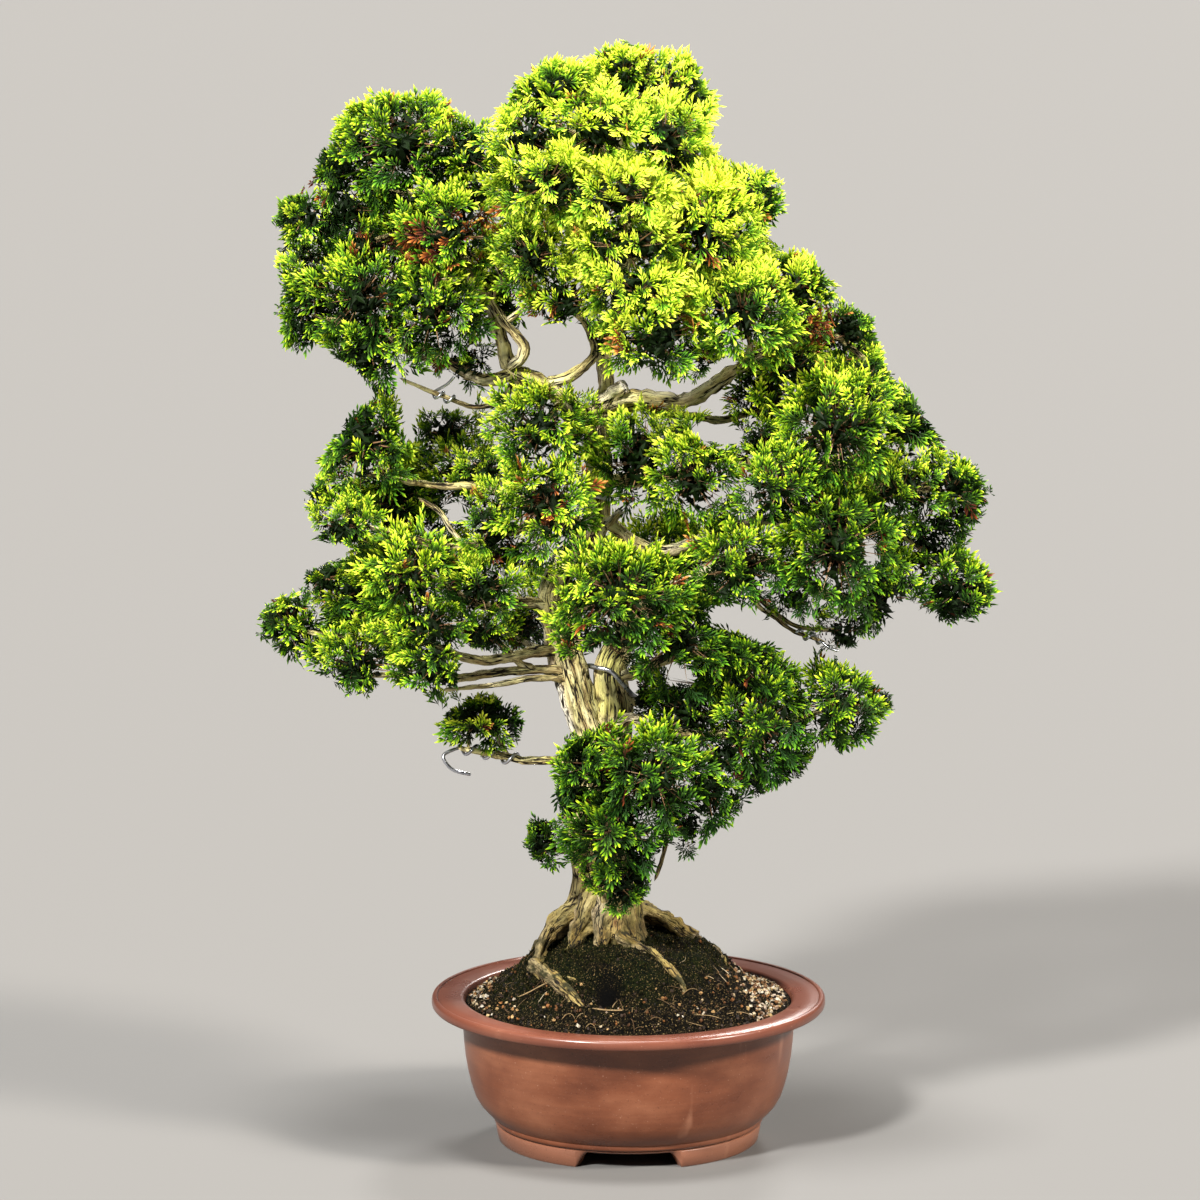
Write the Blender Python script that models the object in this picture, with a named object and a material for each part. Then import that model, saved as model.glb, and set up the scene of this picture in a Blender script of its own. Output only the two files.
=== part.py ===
"""Hinoki cypress bonsai growing in its round clay pot.

Sizes are millimetres in this file and become metres where each mesh is made.
The origin lies on the pot's axis, at the surface that the pot stands on.
+Z is up and -Y is the tree's front.
"""
import math
import random

import bmesh
import bpy
from mathutils import Matrix, Vector
from mathutils.bvhtree import BVHTree

MM = 0.001
GAP = 0.3

# Pot: round, with an in-turned wall, a flat lip and a foot ring cut away in three places
POT_SEGMENTS = 28
RIM_RADIUS = 180.0
RIM_TOP = 135.0
LIP_INNER_RADIUS = 150.0
LIP_UNDERSIDE = 124.5
FOOT_RADIUS = 119.5
FOOT_INNER_RADIUS = 107.0
FOOT_HEIGHT = 17.0
FLOOR_TOP = 27.0
DRAIN_RADIUS = 18.0
CUTOUT_WIDTH = 97.0
CUTOUT_TOP_WIDTH = 76.0
CUTOUT_HEIGHT = 15.0
CUTOUT_DEPTH = 26.0
CUTOUTS = 3

# The wall as radius and height, from the foot ring up to the lip, and down again inside
WALL_OUTSIDE = [(126.0, 23.0), (136.0, 35.0), (144.0, 54.0), (149.0, 78.0), (151.2, 105.0)]
WALL_INSIDE = [(143.5, 112.0), (141.0, 82.0), (136.0, 56.0), (127.5, 36.0), (119.0, FLOOR_TOP)]

# Screen over the drain hole, and the bent wire that holds it
SCREEN_SIZE = 48.0
SCREEN_THICKNESS = 1.2
SCREEN_MESH = 3
SCREEN_HOLE = 11.0
CLIP_WIRE = 0.9

# Soil: a mound whose middle stands forward of the pot's axis
MOUND_CENTRE = Vector((-3.0, -15.0))
MOUND = [(0, 192), (45, 191), (62, 189), (80, 181), (92, 168), (99, 161), (110, 151),
         (122, 143), (135, 136), (175, 129)]
SOIL_RINGS = [25, 50, 70, 88, 108, 130]
SOIL_EDGE = 129.0
SOIL_EDGE_RADIUS = 148.7
HUMMOCK = 2.2
SCREEN_POCKET_RADIUS = 37.0
SCREEN_POCKET_TOP = 31.8

# Wood, as points along each stem: x, y, z and radius
STRAIGHTEN = 2.5
LED_IN = 0.88
TRUNK_SIDES = 9
FLUTES = 0.09
TRUNK = {
    "base": [(-19, 0, 150, 42), (-19, 0, 190, 40), (-18, 0, 206, 35), (-18, 0, 228, 31),
             (-22, -3, 270, 28), (-26, -5, 317, 27), (-28, -6, 340, 25)],
    "left_column": [(-23, -5, 312, 22), (-30, -8, 366, 17), (-42, -8, 400, 13.5),
                    (-51, -8, 429, 12.5), (-60, -8, 457, 12), (-67, -6, 486, 12),
                    (-69, -2, 509, 12.5), (-58, 4, 532, 12.5), (-40, 6, 551, 12.5),
                    (-29, 6, 572, 12), (-26, 6, 600, 11), (-27, 6, 625, 11),
                    (-29, 6, 652, 10), (-28, 6, 682, 9.5)],
    "right_column": [(-22, -5, 320, 19), (-16, -5, 368, 18.5), (-14, -5, 405, 17),
                     (-17, 0, 439, 15), (-6, 8, 463, 13)],
}

LIMB_SIDES = 5
LIMBS = {
    "right_column_top": [(-8, 7, 455, 12.5), (19, 10, 493, 10.5), (60, 0, 522, 9), (102, -15, 541, 8),
                         (141, -25, 532, 7), (181, -40, 513, 5), (218, -50, 511, 4)],
    "leader": [(-28, 6, 675, 9), (-20, 8, 696, 8), (-23, 8, 718, 7.5), (-17, 10, 740, 7),
               (-8, 12, 783, 6.5), (-1, 10, 833, 6), (-6, 5, 892, 5), (-9, 5, 950, 4)],
    "cut_stump": [(-26, 4, 680, 8), (-15, -2, 690, 7), (-4, -8, 700, 6)],
    "left_limb": [(-29, 6, 655, 9.5), (-44, -4, 672, 9.5), (-60, -12, 687, 9.5),
                  (-75, -18, 701, 9.5), (-98, -20, 710, 9), (-110, -20, 719, 8)],
    "left_limb_up": [(-107, -20, 714, 8), (-115, -19, 745, 6.5), (-127, -10, 777, 5.5),
                     (-143, 0, 807, 5), (-161, 5, 843, 4.5), (-183, 8, 879, 4), (-203, 10, 905, 3)],
    "loop": [(-108, -22, 716, 6), (-97, -31, 727, 5.5), (-94, -34, 739, 5.5), (-101, -34, 749, 5),
             (-112, -31, 760, 5), (-122, -29, 776, 4.6), (-131, -31, 786, 4.4),
             (-144, -34, 797, 4), (-168, -40, 800, 3)],
    "left_head_low": [(-102, -20, 712, 7), (-122, -21, 706, 6.5), (-137, -21, 708, 6),
                      (-153, -21, 717, 5.5), (-180, -23, 732, 5), (-212, -25, 743, 4)],
    "centre_branch": [(-75, -18, 702, 6), (-55, -22, 708, 5.5), (-41, -25, 718, 5),
                      (-30, -28, 735, 4.5), (-39, -40, 759, 4), (-55, -56, 778, 3)],
    "right_limb": [(-26, 6, 678, 9), (-2, 0, 687, 8), (28, -6, 687, 7.5), (50, -10, 685, 7.5),
                   (70, -14, 696, 7.5), (91, -18, 711, 7), (104, -22, 720, 6.5),
                   (135, -28, 739, 5.5), (167, -30, 748, 4.5), (196, -33, 744, 3.5)],
    "second_right": [(-25, 6, 668, 6), (10, 15, 677, 5), (33, 10, 671, 4.5), (62, 0, 670, 4),
                     (85, -10, 668, 4), (120, -16, 680, 3)],
    "far_right": [(-26, 6, 609, 8), (10, 14, 610, 7), (46, 14, 617, 6.5), (75, 0, 633, 6.5),
                  (98, -18, 633, 6), (118, -28, 628, 6), (157, -40, 630, 6), (193, -50, 629, 5.5),
                  (225, -50, 613, 5), (257, -45, 610, 4), (282, -38, 611, 3)],
    "low_limb": [(-28, 6, 581, 7), (-12, -4, 569, 6.5), (8, -12, 555, 6), (34, -20, 550, 6),
                 (59, -26, 560, 5), (82, -34, 571, 4.5), (107, -45, 580, 4), (144, -60, 583, 4),
                 (184, -68, 578, 4), (216, -55, 583, 3.5), (248, -38, 566, 3), (278, -38, 538, 2.4)],
    "snag": [(-24, 4, 566, 5), (-15, -7, 576, 4.5), (-7, -11, 585, 4)],
    "left_middle_limb": [(-33, 6, 563, 8), (-62, -10, 577, 7), (-94, -20, 592, 6),
                         (-121, -22, 606, 5), (-143, -22, 610, 4.2), (-170, -20, 609, 3.6),
                         (-202, -18, 614, 3), (-245, -22, 622, 2.4)],
    "left_fork": [(-62, -10, 576, 5), (-107, -30, 570, 4.5), (-143, -45, 560, 4),
                  (-174, -52, 561, 3.5), (-205, -54, 571, 3), (-245, -62, 582, 2.4)],
    "left_upper": [(-66, -4, 497, 6), (-85, -12, 501, 5.5), (-107, -22, 503, 5),
                   (-125, -30, 501, 4.5), (-145, -42, 510, 3.5), (-178, -66, 536, 3)],
    "left_pale": [(-60, -8, 457, 6.5), (-80, -20, 458, 6), (-103, -32, 456, 5.5),
                  (-128, -44, 454, 5), (-154, -52, 460, 4), (-183, -54, 472, 3.6),
                  (-211, -46, 481, 3.2), (-242, -36, 476, 3), (-270, -28, 474, 2.6),
                  (-297, -24, 478, 2)],
    "left_long": [(-52, -8, 436, 5.5), (-76, -17, 441, 5), (-103, -24, 441, 4.6),
                  (-125, -30, 440, 4.4), (-148, -36, 437, 4.2), (-169, -42, 437, 4),
                  (-206, -46, 441, 3), (-250, -52, 442, 2)],
    "lower_left": [(-30, -7, 346, 6), (-53, -12, 354, 5), (-74, -14, 356, 4.4), (-94, -14, 355, 4),
                   (-112, -14, 359, 3.8), (-135, -14, 364, 3.4), (-156, -14, 368, 3)],
    "yellow_right": [(-14, -2, 430, 6.5), (4, -16, 437, 6), (19, -24, 445, 6), (36, -34, 454, 5),
                     (64, -48, 462, 4), (100, -68, 460, 3)],
    "low_right": [(-20, -8, 372, 7), (-1, -26, 397, 5.5), (27, -44, 393, 5), (60, -54, 388, 4.5),
                  (96, -60, 392, 4), (136, -57, 400, 3.6), (177, -47, 409, 3), (209, -38, 412, 2.4)],
    "low_front": [(-22, -10, 330, 8), (-15, -50, 343, 6), (10, -72, 345, 5), (46, -84, 341, 4),
                  (72, -92, 341, 3)],
}

ROOTS = {
    "left": [(-22, -5, 226, 17), (-46, -14, 219, 13), (-62, -22, 210, 10), (-73, -31, 199, 7.5),
             (-79, -40, 186, 7), (-83, -50, 174, 6.5), (-84, -56, 164, 5)],
    "front_left": [(-90, -46, 171, 5), (-85, -55, 174, 7.5), (-75, -72, 171, 7.5),
                   (-62, -92, 164, 7), (-49, -107, 157, 6), (-39, -118, 148, 4)],
    "front": [(-26, -14, 214, 14), (-40, -30, 202, 9), (-52, -48, 192, 6), (-42, -64, 190, 5),
              (-24, -76, 186, 3.5)],
    "front_right": [(-12, -10, 214, 14), (-3, -40, 196, 8), (19, -66, 190, 5), (35, -85, 179, 4),
                    (47, -94, 167, 3.2), (54, -101, 156, 2.4)],
    "right": [(-10, 6, 216, 14), (18, 20, 203, 9), (46, 30, 190, 6), (71, 18, 181, 5.5),
              (84, 2, 175, 5), (88, -12, 165, 4.5), (89, -22, 154, 3.5)],
    "right_stub": [(-10, 6, 218, 12), (18, 13, 210, 8.5), (38, 16, 202, 8), (60, 16, 190, 7)],
    "back_right": [(-14, 8, 216, 15), (5, 36, 200, 9), (22, 62, 184, 7), (36, 86, 160, 5),
                   (42, 98, 140, 4)],
    "back_left": [(-24, 8, 216, 15), (-45, 30, 202, 10), (-66, 48, 186, 7), (-84, 64, 164, 5),
                  (-94, 74, 142, 4)],
}

# Slender wood: the last forks, dead snags and the twigs that carry the pads behind
TWIG_SIDES = 3
TWIGS = {
    "loop_fork": [(-122, -29, 774, 3.4), (-121, -35, 791, 3.2), (-113, -40, 800, 2.8),
                  (-121, -46, 819, 2.4)],
    "loop_right": [(-112, -31, 759, 3.4), (-92, -40, 774, 3), (-70, -55, 786, 2.4)],
    "dead_spike": [(-113, -19, 740, 4.5), (-121, -22, 752, 4), (-124, -24, 760, 3)],
    "thin_left": [(-104, -16, 706, 4), (-113, -16, 687, 3.2), (-137, -22, 682, 3),
                  (-161, -28, 690, 2.6), (-178, -30, 697, 2.4), (-206, -34, 710, 2)],
    "left_head_front": [(-153, -21, 717, 3.6), (-200, -35, 735, 3.2), (-238, -42, 775, 2.4)],
    "left_head_edge": [(-212, -25, 743, 3.6), (-250, -24, 757, 3), (-286, -16, 764, 2.4)],
    "left_head_out": [(-161, 5, 842, 4.4), (-192, 5, 837, 4), (-219, 2, 832, 3.6),
                      (-246, 4, 822, 3.2), (-276, 14, 812, 2.6)],
    "left_head_shoulder": [(-180, 8, 874, 4), (-215, 15, 871, 3.5), (-248, 24, 882, 2.8)],
    "left_head_inner": [(-143, 0, 807, 4), (-150, -30, 818, 3.2), (-160, -50, 828, 2.6)],
    "left_head_back": [(-127, -10, 777, 5), (-155, 30, 790, 4.5), (-190, 70, 785, 4),
                       (-245, 84, 808, 3)],
    "left_head_back_up": [(-155, 30, 790, 4), (-170, 65, 825, 3.5), (-184, 88, 850, 3)],
    "crown_left": [(-6, 5, 892, 4), (-35, -12, 920, 3.5), (-72, -34, 940, 2.6)],
    "crown_high": [(-3, 8, 865, 4.5), (-8, -30, 905, 3.8), (-18, -55, 930, 2.6)],
    "crown_front_left": [(-2, 10, 828, 4.5), (-40, -45, 858, 3.8), (-70, -80, 880, 2.6)],
    "crown_front": [(-3, 11, 815, 4.5), (-2, -45, 838, 4), (-10, -85, 862, 3)],
    "crown_right": [(-3, 9, 850, 4.5), (50, -12, 862, 4), (98, -28, 866, 2.8)],
    "crown_low": [(-13, 11, 755, 4.5), (-2, -55, 775, 4), (10, -105, 786, 3)],
    "crown_back_high": [(-3, 9, 862, 4.5), (-10, 40, 895, 4), (-22, 76, 928, 3)],
    "crown_back_left": [(-6, 12, 795, 5), (-25, 65, 805, 4.5), (-45, 112, 820, 3)],
    "crown_back_right": [(-4, 11, 805, 5), (20, 65, 818, 4.5), (45, 105, 840, 3)],
    "crown_back_low": [(-15, 11, 748, 5), (12, 75, 760, 4.5), (40, 128, 772, 3)],
    "right_limb_up": [(104, -22, 720, 4), (108, -38, 741, 3.6), (102, -66, 764, 3),
                      (102, -98, 776, 2.4)],
    "right_limb_fork": [(135, -28, 739, 3.4), (137, -34, 765, 3), (139, -38, 795, 2.4)],
    "right_limb_end": [(190, -33, 744, 3.6), (226, -28, 712, 3), (247, -23, 674, 2.4)],
    "right_front": [(118, -28, 628, 4), (150, -70, 645, 3.6), (186, -96, 664, 2.6)],
    "right_back": [(91, -18, 711, 5), (120, 35, 713, 4.5), (160, 85, 708, 3.6), (198, 102, 668, 3)],
    "right_low_back": [(118, -28, 628, 5), (150, 35, 618, 4.5), (196, 88, 584, 3.6)],
    "right_low_front": [(150, -62, 582, 3.6), (172, -90, 582, 3.2), (186, -108, 575, 2.6)],
    "right_middle_front": [(59, -26, 560, 3.8), (85, -70, 566, 3.4), (98, -108, 556, 2.6)],
    "right_middle_up": [(107, -45, 580, 3.6), (125, -80, 602, 3.2), (134, -108, 618, 2.6)],
    "low_thin": [(102, -15, 539, 3.4), (109, -30, 523, 3.2), (120, -38, 508, 3), (135, -41, 495, 2.8),
                 (153, -45, 485, 2.6), (190, -56, 484, 2.2)],
    "low_thin_end": [(109, -30, 522, 3), (116, -43, 505, 2.6), (132, -51, 494, 2.4),
                     (148, -55, 483, 2.4), (177, -60, 474, 2)],
    "middle_up": [(10, 14, 610, 4), (10, -15, 616, 3.5), (12, -40, 624, 2.6)],
    "middle_left_front": [(-94, -20, 592, 4), (-75, -50, 604, 3.6), (-66, -78, 616, 2.6)],
    "middle_left_high": [(-60, -12, 687, 4), (-70, -40, 678, 3.4), (-79, -62, 670, 2.6)],
    "left_back": [(-94, -20, 592, 4.5), (-135, 35, 605, 4), (-185, 68, 608, 3.4), (-222, 76, 610, 2.6)],
    "left_back_low": [(-107, -22, 503, 4), (-145, 40, 520, 3.6), (-188, 88, 538, 3)],
    "left_bottom_back": [(-80, -20, 458, 4), (-110, 35, 462, 3.6), (-180, 92, 462, 3.2),
                         (-250, 84, 484, 2.6)],
    "left_upright": [(-150, -47, 562, 3), (-160, -41, 574, 3), (-171, -34, 589, 2.8),
                     (-190, -27, 600, 2.2)],
    "left_hook": [(-85, -20, 442, 4.6), (-98, -26, 448, 4.2), (-107, -32, 458, 3.8),
                  (-125, -46, 480, 2.4)],
    "left_second": [(-50, -8, 428, 4.6), (-69, -19, 433, 4), (-94, -28, 434, 3.6),
                    (-116, -36, 431, 3.2), (-139, -44, 430, 2.6), (-168, -60, 430, 2)],
    "left_low_up": [(-154, -52, 460, 3), (-166, -68, 463, 2.6), (-176, -80, 466, 2.2)],
    "left_inner": [(-125, -30, 501, 3.4), (-130, -45, 510, 3), (-132, -58, 518, 2.4)],
    "left_middle_low": [(-242, -36, 476, 3), (-250, -10, 482, 2.6), (-256, 6, 487, 2.2)],
    "lower_left_up": [(-108, -14, 357, 2.8), (-117, -13, 373, 2.4), (-123, -11, 389, 2)],
    "lower_left_tip": [(-146, -14, 366, 2.4), (-145, -13, 376, 2.2), (-145, -11, 387, 2)],
    "middle_front": [(-6, 8, 463, 5), (-10, -50, 490, 4.5), (-10, -108, 522, 3.2)],
    "middle_back": [(-6, 8, 463, 6), (-2, 65, 488, 5), (-4, 122, 508, 3.6)],
    "middle_back_fork": [(-2, 65, 488, 4), (-30, 95, 484, 3.6), (-55, 112, 481, 3)],
    "low_back": [(-14, -5, 405, 6), (25, 50, 402, 5), (76, 90, 404, 3.5)],
    "low_right_front": [(96, -60, 392, 3.6), (108, -74, 398, 3.2), (120, -86, 404, 2.6)],
    "low_front_left": [(-18, -36, 338, 5), (-26, -62, 351, 4), (-33, -90, 362, 3)],
    "low_front_down": [(-8, -58, 344, 4.6), (1, -86, 322, 4), (-4, -95, 294, 3), (-8, -86, 260, 2.4)],
    "hanging": [(40, -81, 341, 3), (37, -80, 319, 2.8), (33, -76, 291, 2.6), (27, -72, 267, 2.4),
                (23, -70, 256, 2)],
    "left_twig": [(-37, -12, 272, 4), (-55, -28, 274, 3), (-74, -40, 281, 2.4)],
    "small_root": [(-58, -78, 169, 3.4), (-46, -93, 169, 3.2), (-32, -93, 167, 2.8)],
}

# Foliage, as clumps of sprays: x, y, z, half width and half height of each
FOLIAGE = {
    "left_head_top": [(-205, 10, 915, 58, 45), (-150, 0, 905, 34, 36)],
    "left_head_shoulder": [(-262, 22, 890, 34, 36), (-293, 2, 848, 31, 30)],
    "left_head_outer": [(-284, 4, 785, 34, 50)],
    "left_head_front": [(-240, -44, 785, 40, 34), (-232, -40, 736, 38, 34)],
    "left_head_inner": [(-176, -52, 775, 38, 42), (-160, -50, 840, 40, 34)],
    "left_head_back": [(-248, 88, 800, 46, 48), (-188, 92, 840, 46, 50)],
    "crown_left": [(-68, -20, 960, 42, 36), (-90, -52, 925, 30, 28)],
    "crown_top": [(-6, 2, 978, 36, 32), (40, -12, 965, 36, 34)],
    "crown_front_high": [(-26, -62, 936, 38, 31), (32, -66, 927, 40, 30)],
    "crown_front_left": [(-75, -90, 888, 42, 28), (-86, -80, 826, 30, 30)],
    "crown_front": [(-10, -98, 880, 42, 28), (0, -105, 838, 48, 24), (70, -88, 848, 36, 44)],
    "crown_right": [(104, -25, 868, 38, 34)],
    "crown_low_front": [(8, -115, 798, 46, 26), (23, -120, 758, 40, 36), (-57, -62, 782, 32, 34)],
    "crown_low_right": [(100, -105, 778, 42, 36), (148, -50, 790, 40, 36)],
    "crown_back_high": [(-8, 85, 930, 58, 42)],
    "crown_back_left": [(-58, 112, 850, 46, 52)],
    "crown_back_right": [(55, 105, 842, 58, 40), (60, 125, 775, 60, 40)],
    "right_high": [(198, -30, 751, 32, 27), (213, -55, 707, 34, 27)],
    "right_front": [(124, -15, 690, 30, 40), (185, -98, 675, 46, 42)],
    "right_edge": [(248, -25, 664, 34, 40)],
    "right_tip": [(290, -38, 608, 44, 34), (242, -75, 612, 30, 26)],
    "right_tip_low": [(268, -30, 548, 32, 28), (292, -42, 515, 43, 32)],
    "right_low": [(230, -61, 518, 36, 34), (192, -60, 482, 20, 20)],
    "right_low_front": [(185, -112, 568, 40, 50)],
    "right_middle_front": [(134, -115, 621, 34, 32), (57, -82, 625, 34, 38)],
    "right_middle_low": [(97, -115, 548, 34, 34)],
    "right_back_high": [(180, 100, 688, 52, 48)],
    "right_back_low": [(210, 102, 568, 48, 50)],
    "middle_high": [(10, -25, 634, 34, 40)],
    "middle_left": [(-80, -70, 668, 38, 34), (-72, -82, 600, 32, 46), (-122, -60, 580, 26, 32)],
    "left_high": [(-238, -24, 648, 36, 46), (-272, -15, 598, 28, 18)],
    "left_pale": [(-254, -70, 578, 32, 24)],
    "left_outer": [(-277, -20, 525, 28, 24), (-308, -20, 483, 32, 36)],
    "left_low_middle": [(-243, -5, 512, 32, 42)],
    "left_middle": [(-195, -72, 535, 38, 40), (-182, -85, 492, 34, 24)],
    "left_inner": [(-132, -62, 522, 36, 24)],
    "left_low": [(-247, -53, 452, 38, 30), (-176, -80, 455, 32, 32)],
    "left_back": [(-205, 85, 575, 50, 60), (-163, 70, 642, 34, 24)],
    "left_back_low": [(-225, 92, 475, 60, 42), (-95, 75, 460, 24, 20)],
    "lower_left": [(-131, -10, 393, 44, 26)],
    "middle_front": [(-8, -118, 526, 52, 40), (-26, -112, 484, 40, 24)],
    "middle_front_right": [(47, -95, 482, 34, 36), (100, -75, 458, 38, 34)],
    "middle_back": [(30, 122, 505, 62, 46), (-55, 115, 481, 36, 34)],
    "low_right": [(119, -85, 402, 40, 44), (55, -72, 412, 28, 26)],
    "low_right_tip": [(188, -54, 408, 36, 40), (225, -34, 412, 20, 16)],
    "low_back": [(90, 98, 400, 56, 42)],
    "low_front": [(-30, -92, 368, 38, 34), (22, -125, 364, 40, 36), (71, -100, 347, 30, 36)],
    "low_front_hanging": [(-6, -112, 308, 40, 34), (-8, -90, 256, 24, 28)],
    "low_left_twig": [(-78, -42, 283, 22, 32)],
}
CORE = 0.5
DEPTH = 0.95
LINK_RADIUS = 5.0

# Fans: how many stand on a clump, how wide each spreads, and how far past the clump they reach
FANS_TRIED = 6
FANS_KEPT = 3
LOBES = 3
SPREAD = math.radians(54)
NOTCH = 0.8
RIB = 2.2
RIB_PLACE = 0.55
FAN_BASE = 0.4
TIP_REACH = (1.22, 1.38)
TURNS_TRIED = 5
OWN_CROSSING = 0.7

# Pads whose first random draw left shapes that touch along an edge, and the draw used instead
DRAWS = {"right_low_front": 2}

# Reaches that a lobe is tried at, as shares of its full length, and its room as a wedge
LOBE_REACHES = (1.0, 0.88, 0.76, 0.64, 0.52)
LOBE_ROOT = 0.4
LOBE_STEP = 1.45
LOBE_WIDTH = 0.22
LOBE_ROOM = 0.6

# The canopy's outline and the windows in it, as x and z on the trunk's plane from this viewpoint
VIEWPOINT = Vector((-26.0, -5990.0, 1590.0))
CANOPY = [
    (-15, 1008), (19, 1004), (51, 1005), (63, 983), (80, 960), (83, 942), (74, 925), (83, 900),
    (110, 898), (134, 889), (138, 861), (125, 834), (131, 821), (164, 819), (173, 798), (194, 771),
    (219, 761), (228, 735), (237, 707), (258, 685), (267, 662), (290, 639), (313, 625), (326, 602),
    (322, 580), (304, 552), (325, 534), (334, 506), (323, 490), (296, 479), (278, 488), (250, 506),
    (232, 500), (240, 478), (212, 460), (169, 451), (190, 446), (221, 435), (233, 418), (242, 402),
    (229, 386), (222, 367), (197, 359), (174, 370), (163, 344), (147, 330), (124, 321), (103, 316),
    (100, 293), (76, 279), (56, 254), (45, 258), (36, 274), (20, 262), (21, 237), (11, 218), (-8, 206),
    (-26, 212), (-40, 232), (-53, 256), (-67, 242), (-81, 253), (-95, 274), (-95, 299), (-76, 296),
    (-66, 302), (-64, 326), (-73, 349), (-53, 377), (-8, 391), (10, 418), (-17, 465), (-62, 446),
    (-99, 451), (-135, 418), (-171, 409), (-194, 414), (-224, 426), (-240, 412), (-258, 416),
    (-278, 437), (-307, 444), (-331, 460), (-336, 483), (-323, 501), (-298, 513), (-287, 529),
    (-257, 538), (-252, 551), (-281, 557), (-290, 580), (-300, 593), (-283, 604), (-279, 635),
    (-256, 656), (-242, 680), (-226, 687), (-233, 698), (-251, 717), (-276, 735), (-296, 724),
    (-314, 735), (-318, 767), (-309, 789), (-319, 812), (-311, 830), (-320, 846), (-313, 866),
    (-286, 875), (-279, 898), (-268, 920), (-260, 951), (-236, 963), (-205, 965), (-171, 968),
    (-153, 951), (-142, 933), (-124, 940), (-114, 956), (-89, 983), (-62, 996), (-35, 992)]
LOWER_LEFT_SPRAY = [(-176, 370), (-166, 398), (-149, 411), (-126, 415), (-99, 404), (-90, 383),
                    (-103, 361), (-128, 357), (-152, 363)]
WINDOWS = [
    [(-98, 762), (-75, 756), (-39, 759), (-26, 735), (-44, 712), (-62, 705), (-89, 707), (-103, 726)],
    [(10, 698), (28, 692), (55, 694), (91, 726), (98, 707), (82, 689), (84, 671), (64, 680), (19, 685)],
    [(55, 668), (105, 662), (102, 641), (73, 644), (55, 653)],
    [(-208, 685), (-188, 683), (-190, 648), (-207, 644)],
    [(-206, 696), (-170, 698), (-134, 685), (-143, 676), (-179, 677)],
    [(-158, 465), (-117, 451), (-80, 451), (-66, 418), (-62, 372), (-81, 353), (-99, 409), (-126, 418),
     (-153, 409)],
    [(28, 446), (56, 444), (65, 428), (56, 418), (33, 423)],
    [(69, 497), (119, 492), (155, 474), (151, 455), (110, 465), (74, 478)],
    [(209, 561), (227, 564), (228, 531), (214, 529)],
    [(-171, 595), (-143, 598), (-145, 573), (-166, 570)]]

# Training wire, as points along each piece, and its radius
WIRES = {
    "wire_columns": (2.2, [(-18, 19.5, 432), (-32, 12, 438), (-36.5, -1, 441), (-31, -14, 442),
                           (-17, -20.5, 440), (-7, -21, 430), (2, -19, 419), (8, -10, 412),
                           (9, 3, 407)]),
    "wire_upper_trunk": (2.2, [(-27, 20.5, 600), (-40, 14, 602), (-41.5, 3, 602), (-36, -7, 600),
                               (-26, -10.5, 598), (-17, -9, 595), (-11, -13, 592)]),
}
WIRE_SIDES = 5
WIRE_COILS = {
    "wire_lower_left": dict(limb="lower_left", start=0.55, end=0.97, turns=3, radius=1.6,
                            tail=[(-168, -17, 361), (-160, -21, 349), (-143, -21, 344)]),
    "wire_low_limb": dict(limb="low_limb", start=0.48, end=0.70, turns=3, radius=1.6,
                          tail=[(214, -68, 590), (223, -70, 598)]),
}


def place(point):
    """A point in millimetres, as metres."""
    return Vector(point[:3]) * MM


def material(name, colour, roughness, metallic=0.0):
    made = bpy.data.materials.new(name)
    made.use_nodes = True
    shader = made.node_tree.nodes["Principled BSDF"]
    shader.inputs["Base Color"].default_value = (*colour, 1.0)
    shader.inputs["Roughness"].default_value = roughness
    shader.inputs["Metallic"].default_value = metallic
    made.diffuse_color = (*colour, 1.0)
    return made


def solid(name, points, faces):
    """An object from points in millimetres and faces, turned to face outwards."""
    mesh = bpy.data.meshes.new(name)
    mesh.from_pydata([place(p) for p in points], [], faces)
    shape = bmesh.new()
    shape.from_mesh(mesh)
    bmesh.ops.recalc_face_normals(shape, faces=shape.faces)
    shape.to_mesh(mesh)
    shape.free()
    made = bpy.data.objects.new(name, mesh)
    bpy.context.scene.collection.objects.link(made)
    return made


def tube(stem, sides, grow=0.0, flutes=0.0):
    """Points and faces of a stem of round sections, with flat ends, grown by a margin.

    Each section stands square to the stem and is carried on from the one before without
    twist. Flutes swell and narrow the section three and five times round.
    """
    centres = [Vector(p[:3]) for p in stem]
    ways = [(centres[min(i + 1, len(stem) - 1)] - centres[max(i - 1, 0)]).normalized()
            for i in range(len(stem))]
    centres[0] = centres[0] - ways[0] * grow
    centres[-1] = centres[-1] + ways[-1] * grow
    across = ways[0].orthogonal().normalized()
    points = []
    for centre, way, (_x, _y, _z, radius) in zip(centres, ways, stem):
        across = (across - way * across.dot(way)).normalized()
        other = way.cross(across)
        for k in range(sides):
            turn = math.tau * k / sides
            swell = 1 + flutes * (math.sin(3 * turn + 1.3) + math.sin(5 * turn))
            reach = (radius + grow) * swell
            points.append(centre + across * (math.cos(turn) * reach) + other * (math.sin(turn) * reach))
    faces = [tuple(reversed(range(sides)))]
    for i in range(len(stem) - 1):
        for k in range(sides):
            a, b = i * sides + k, i * sides + (k + 1) % sides
            faces += [(a, b, b + sides), (a, b + sides, a + sides)]
    last = (len(stem) - 1) * sides
    faces.append(tuple(range(last, last + sides)))
    return points, faces


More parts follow.
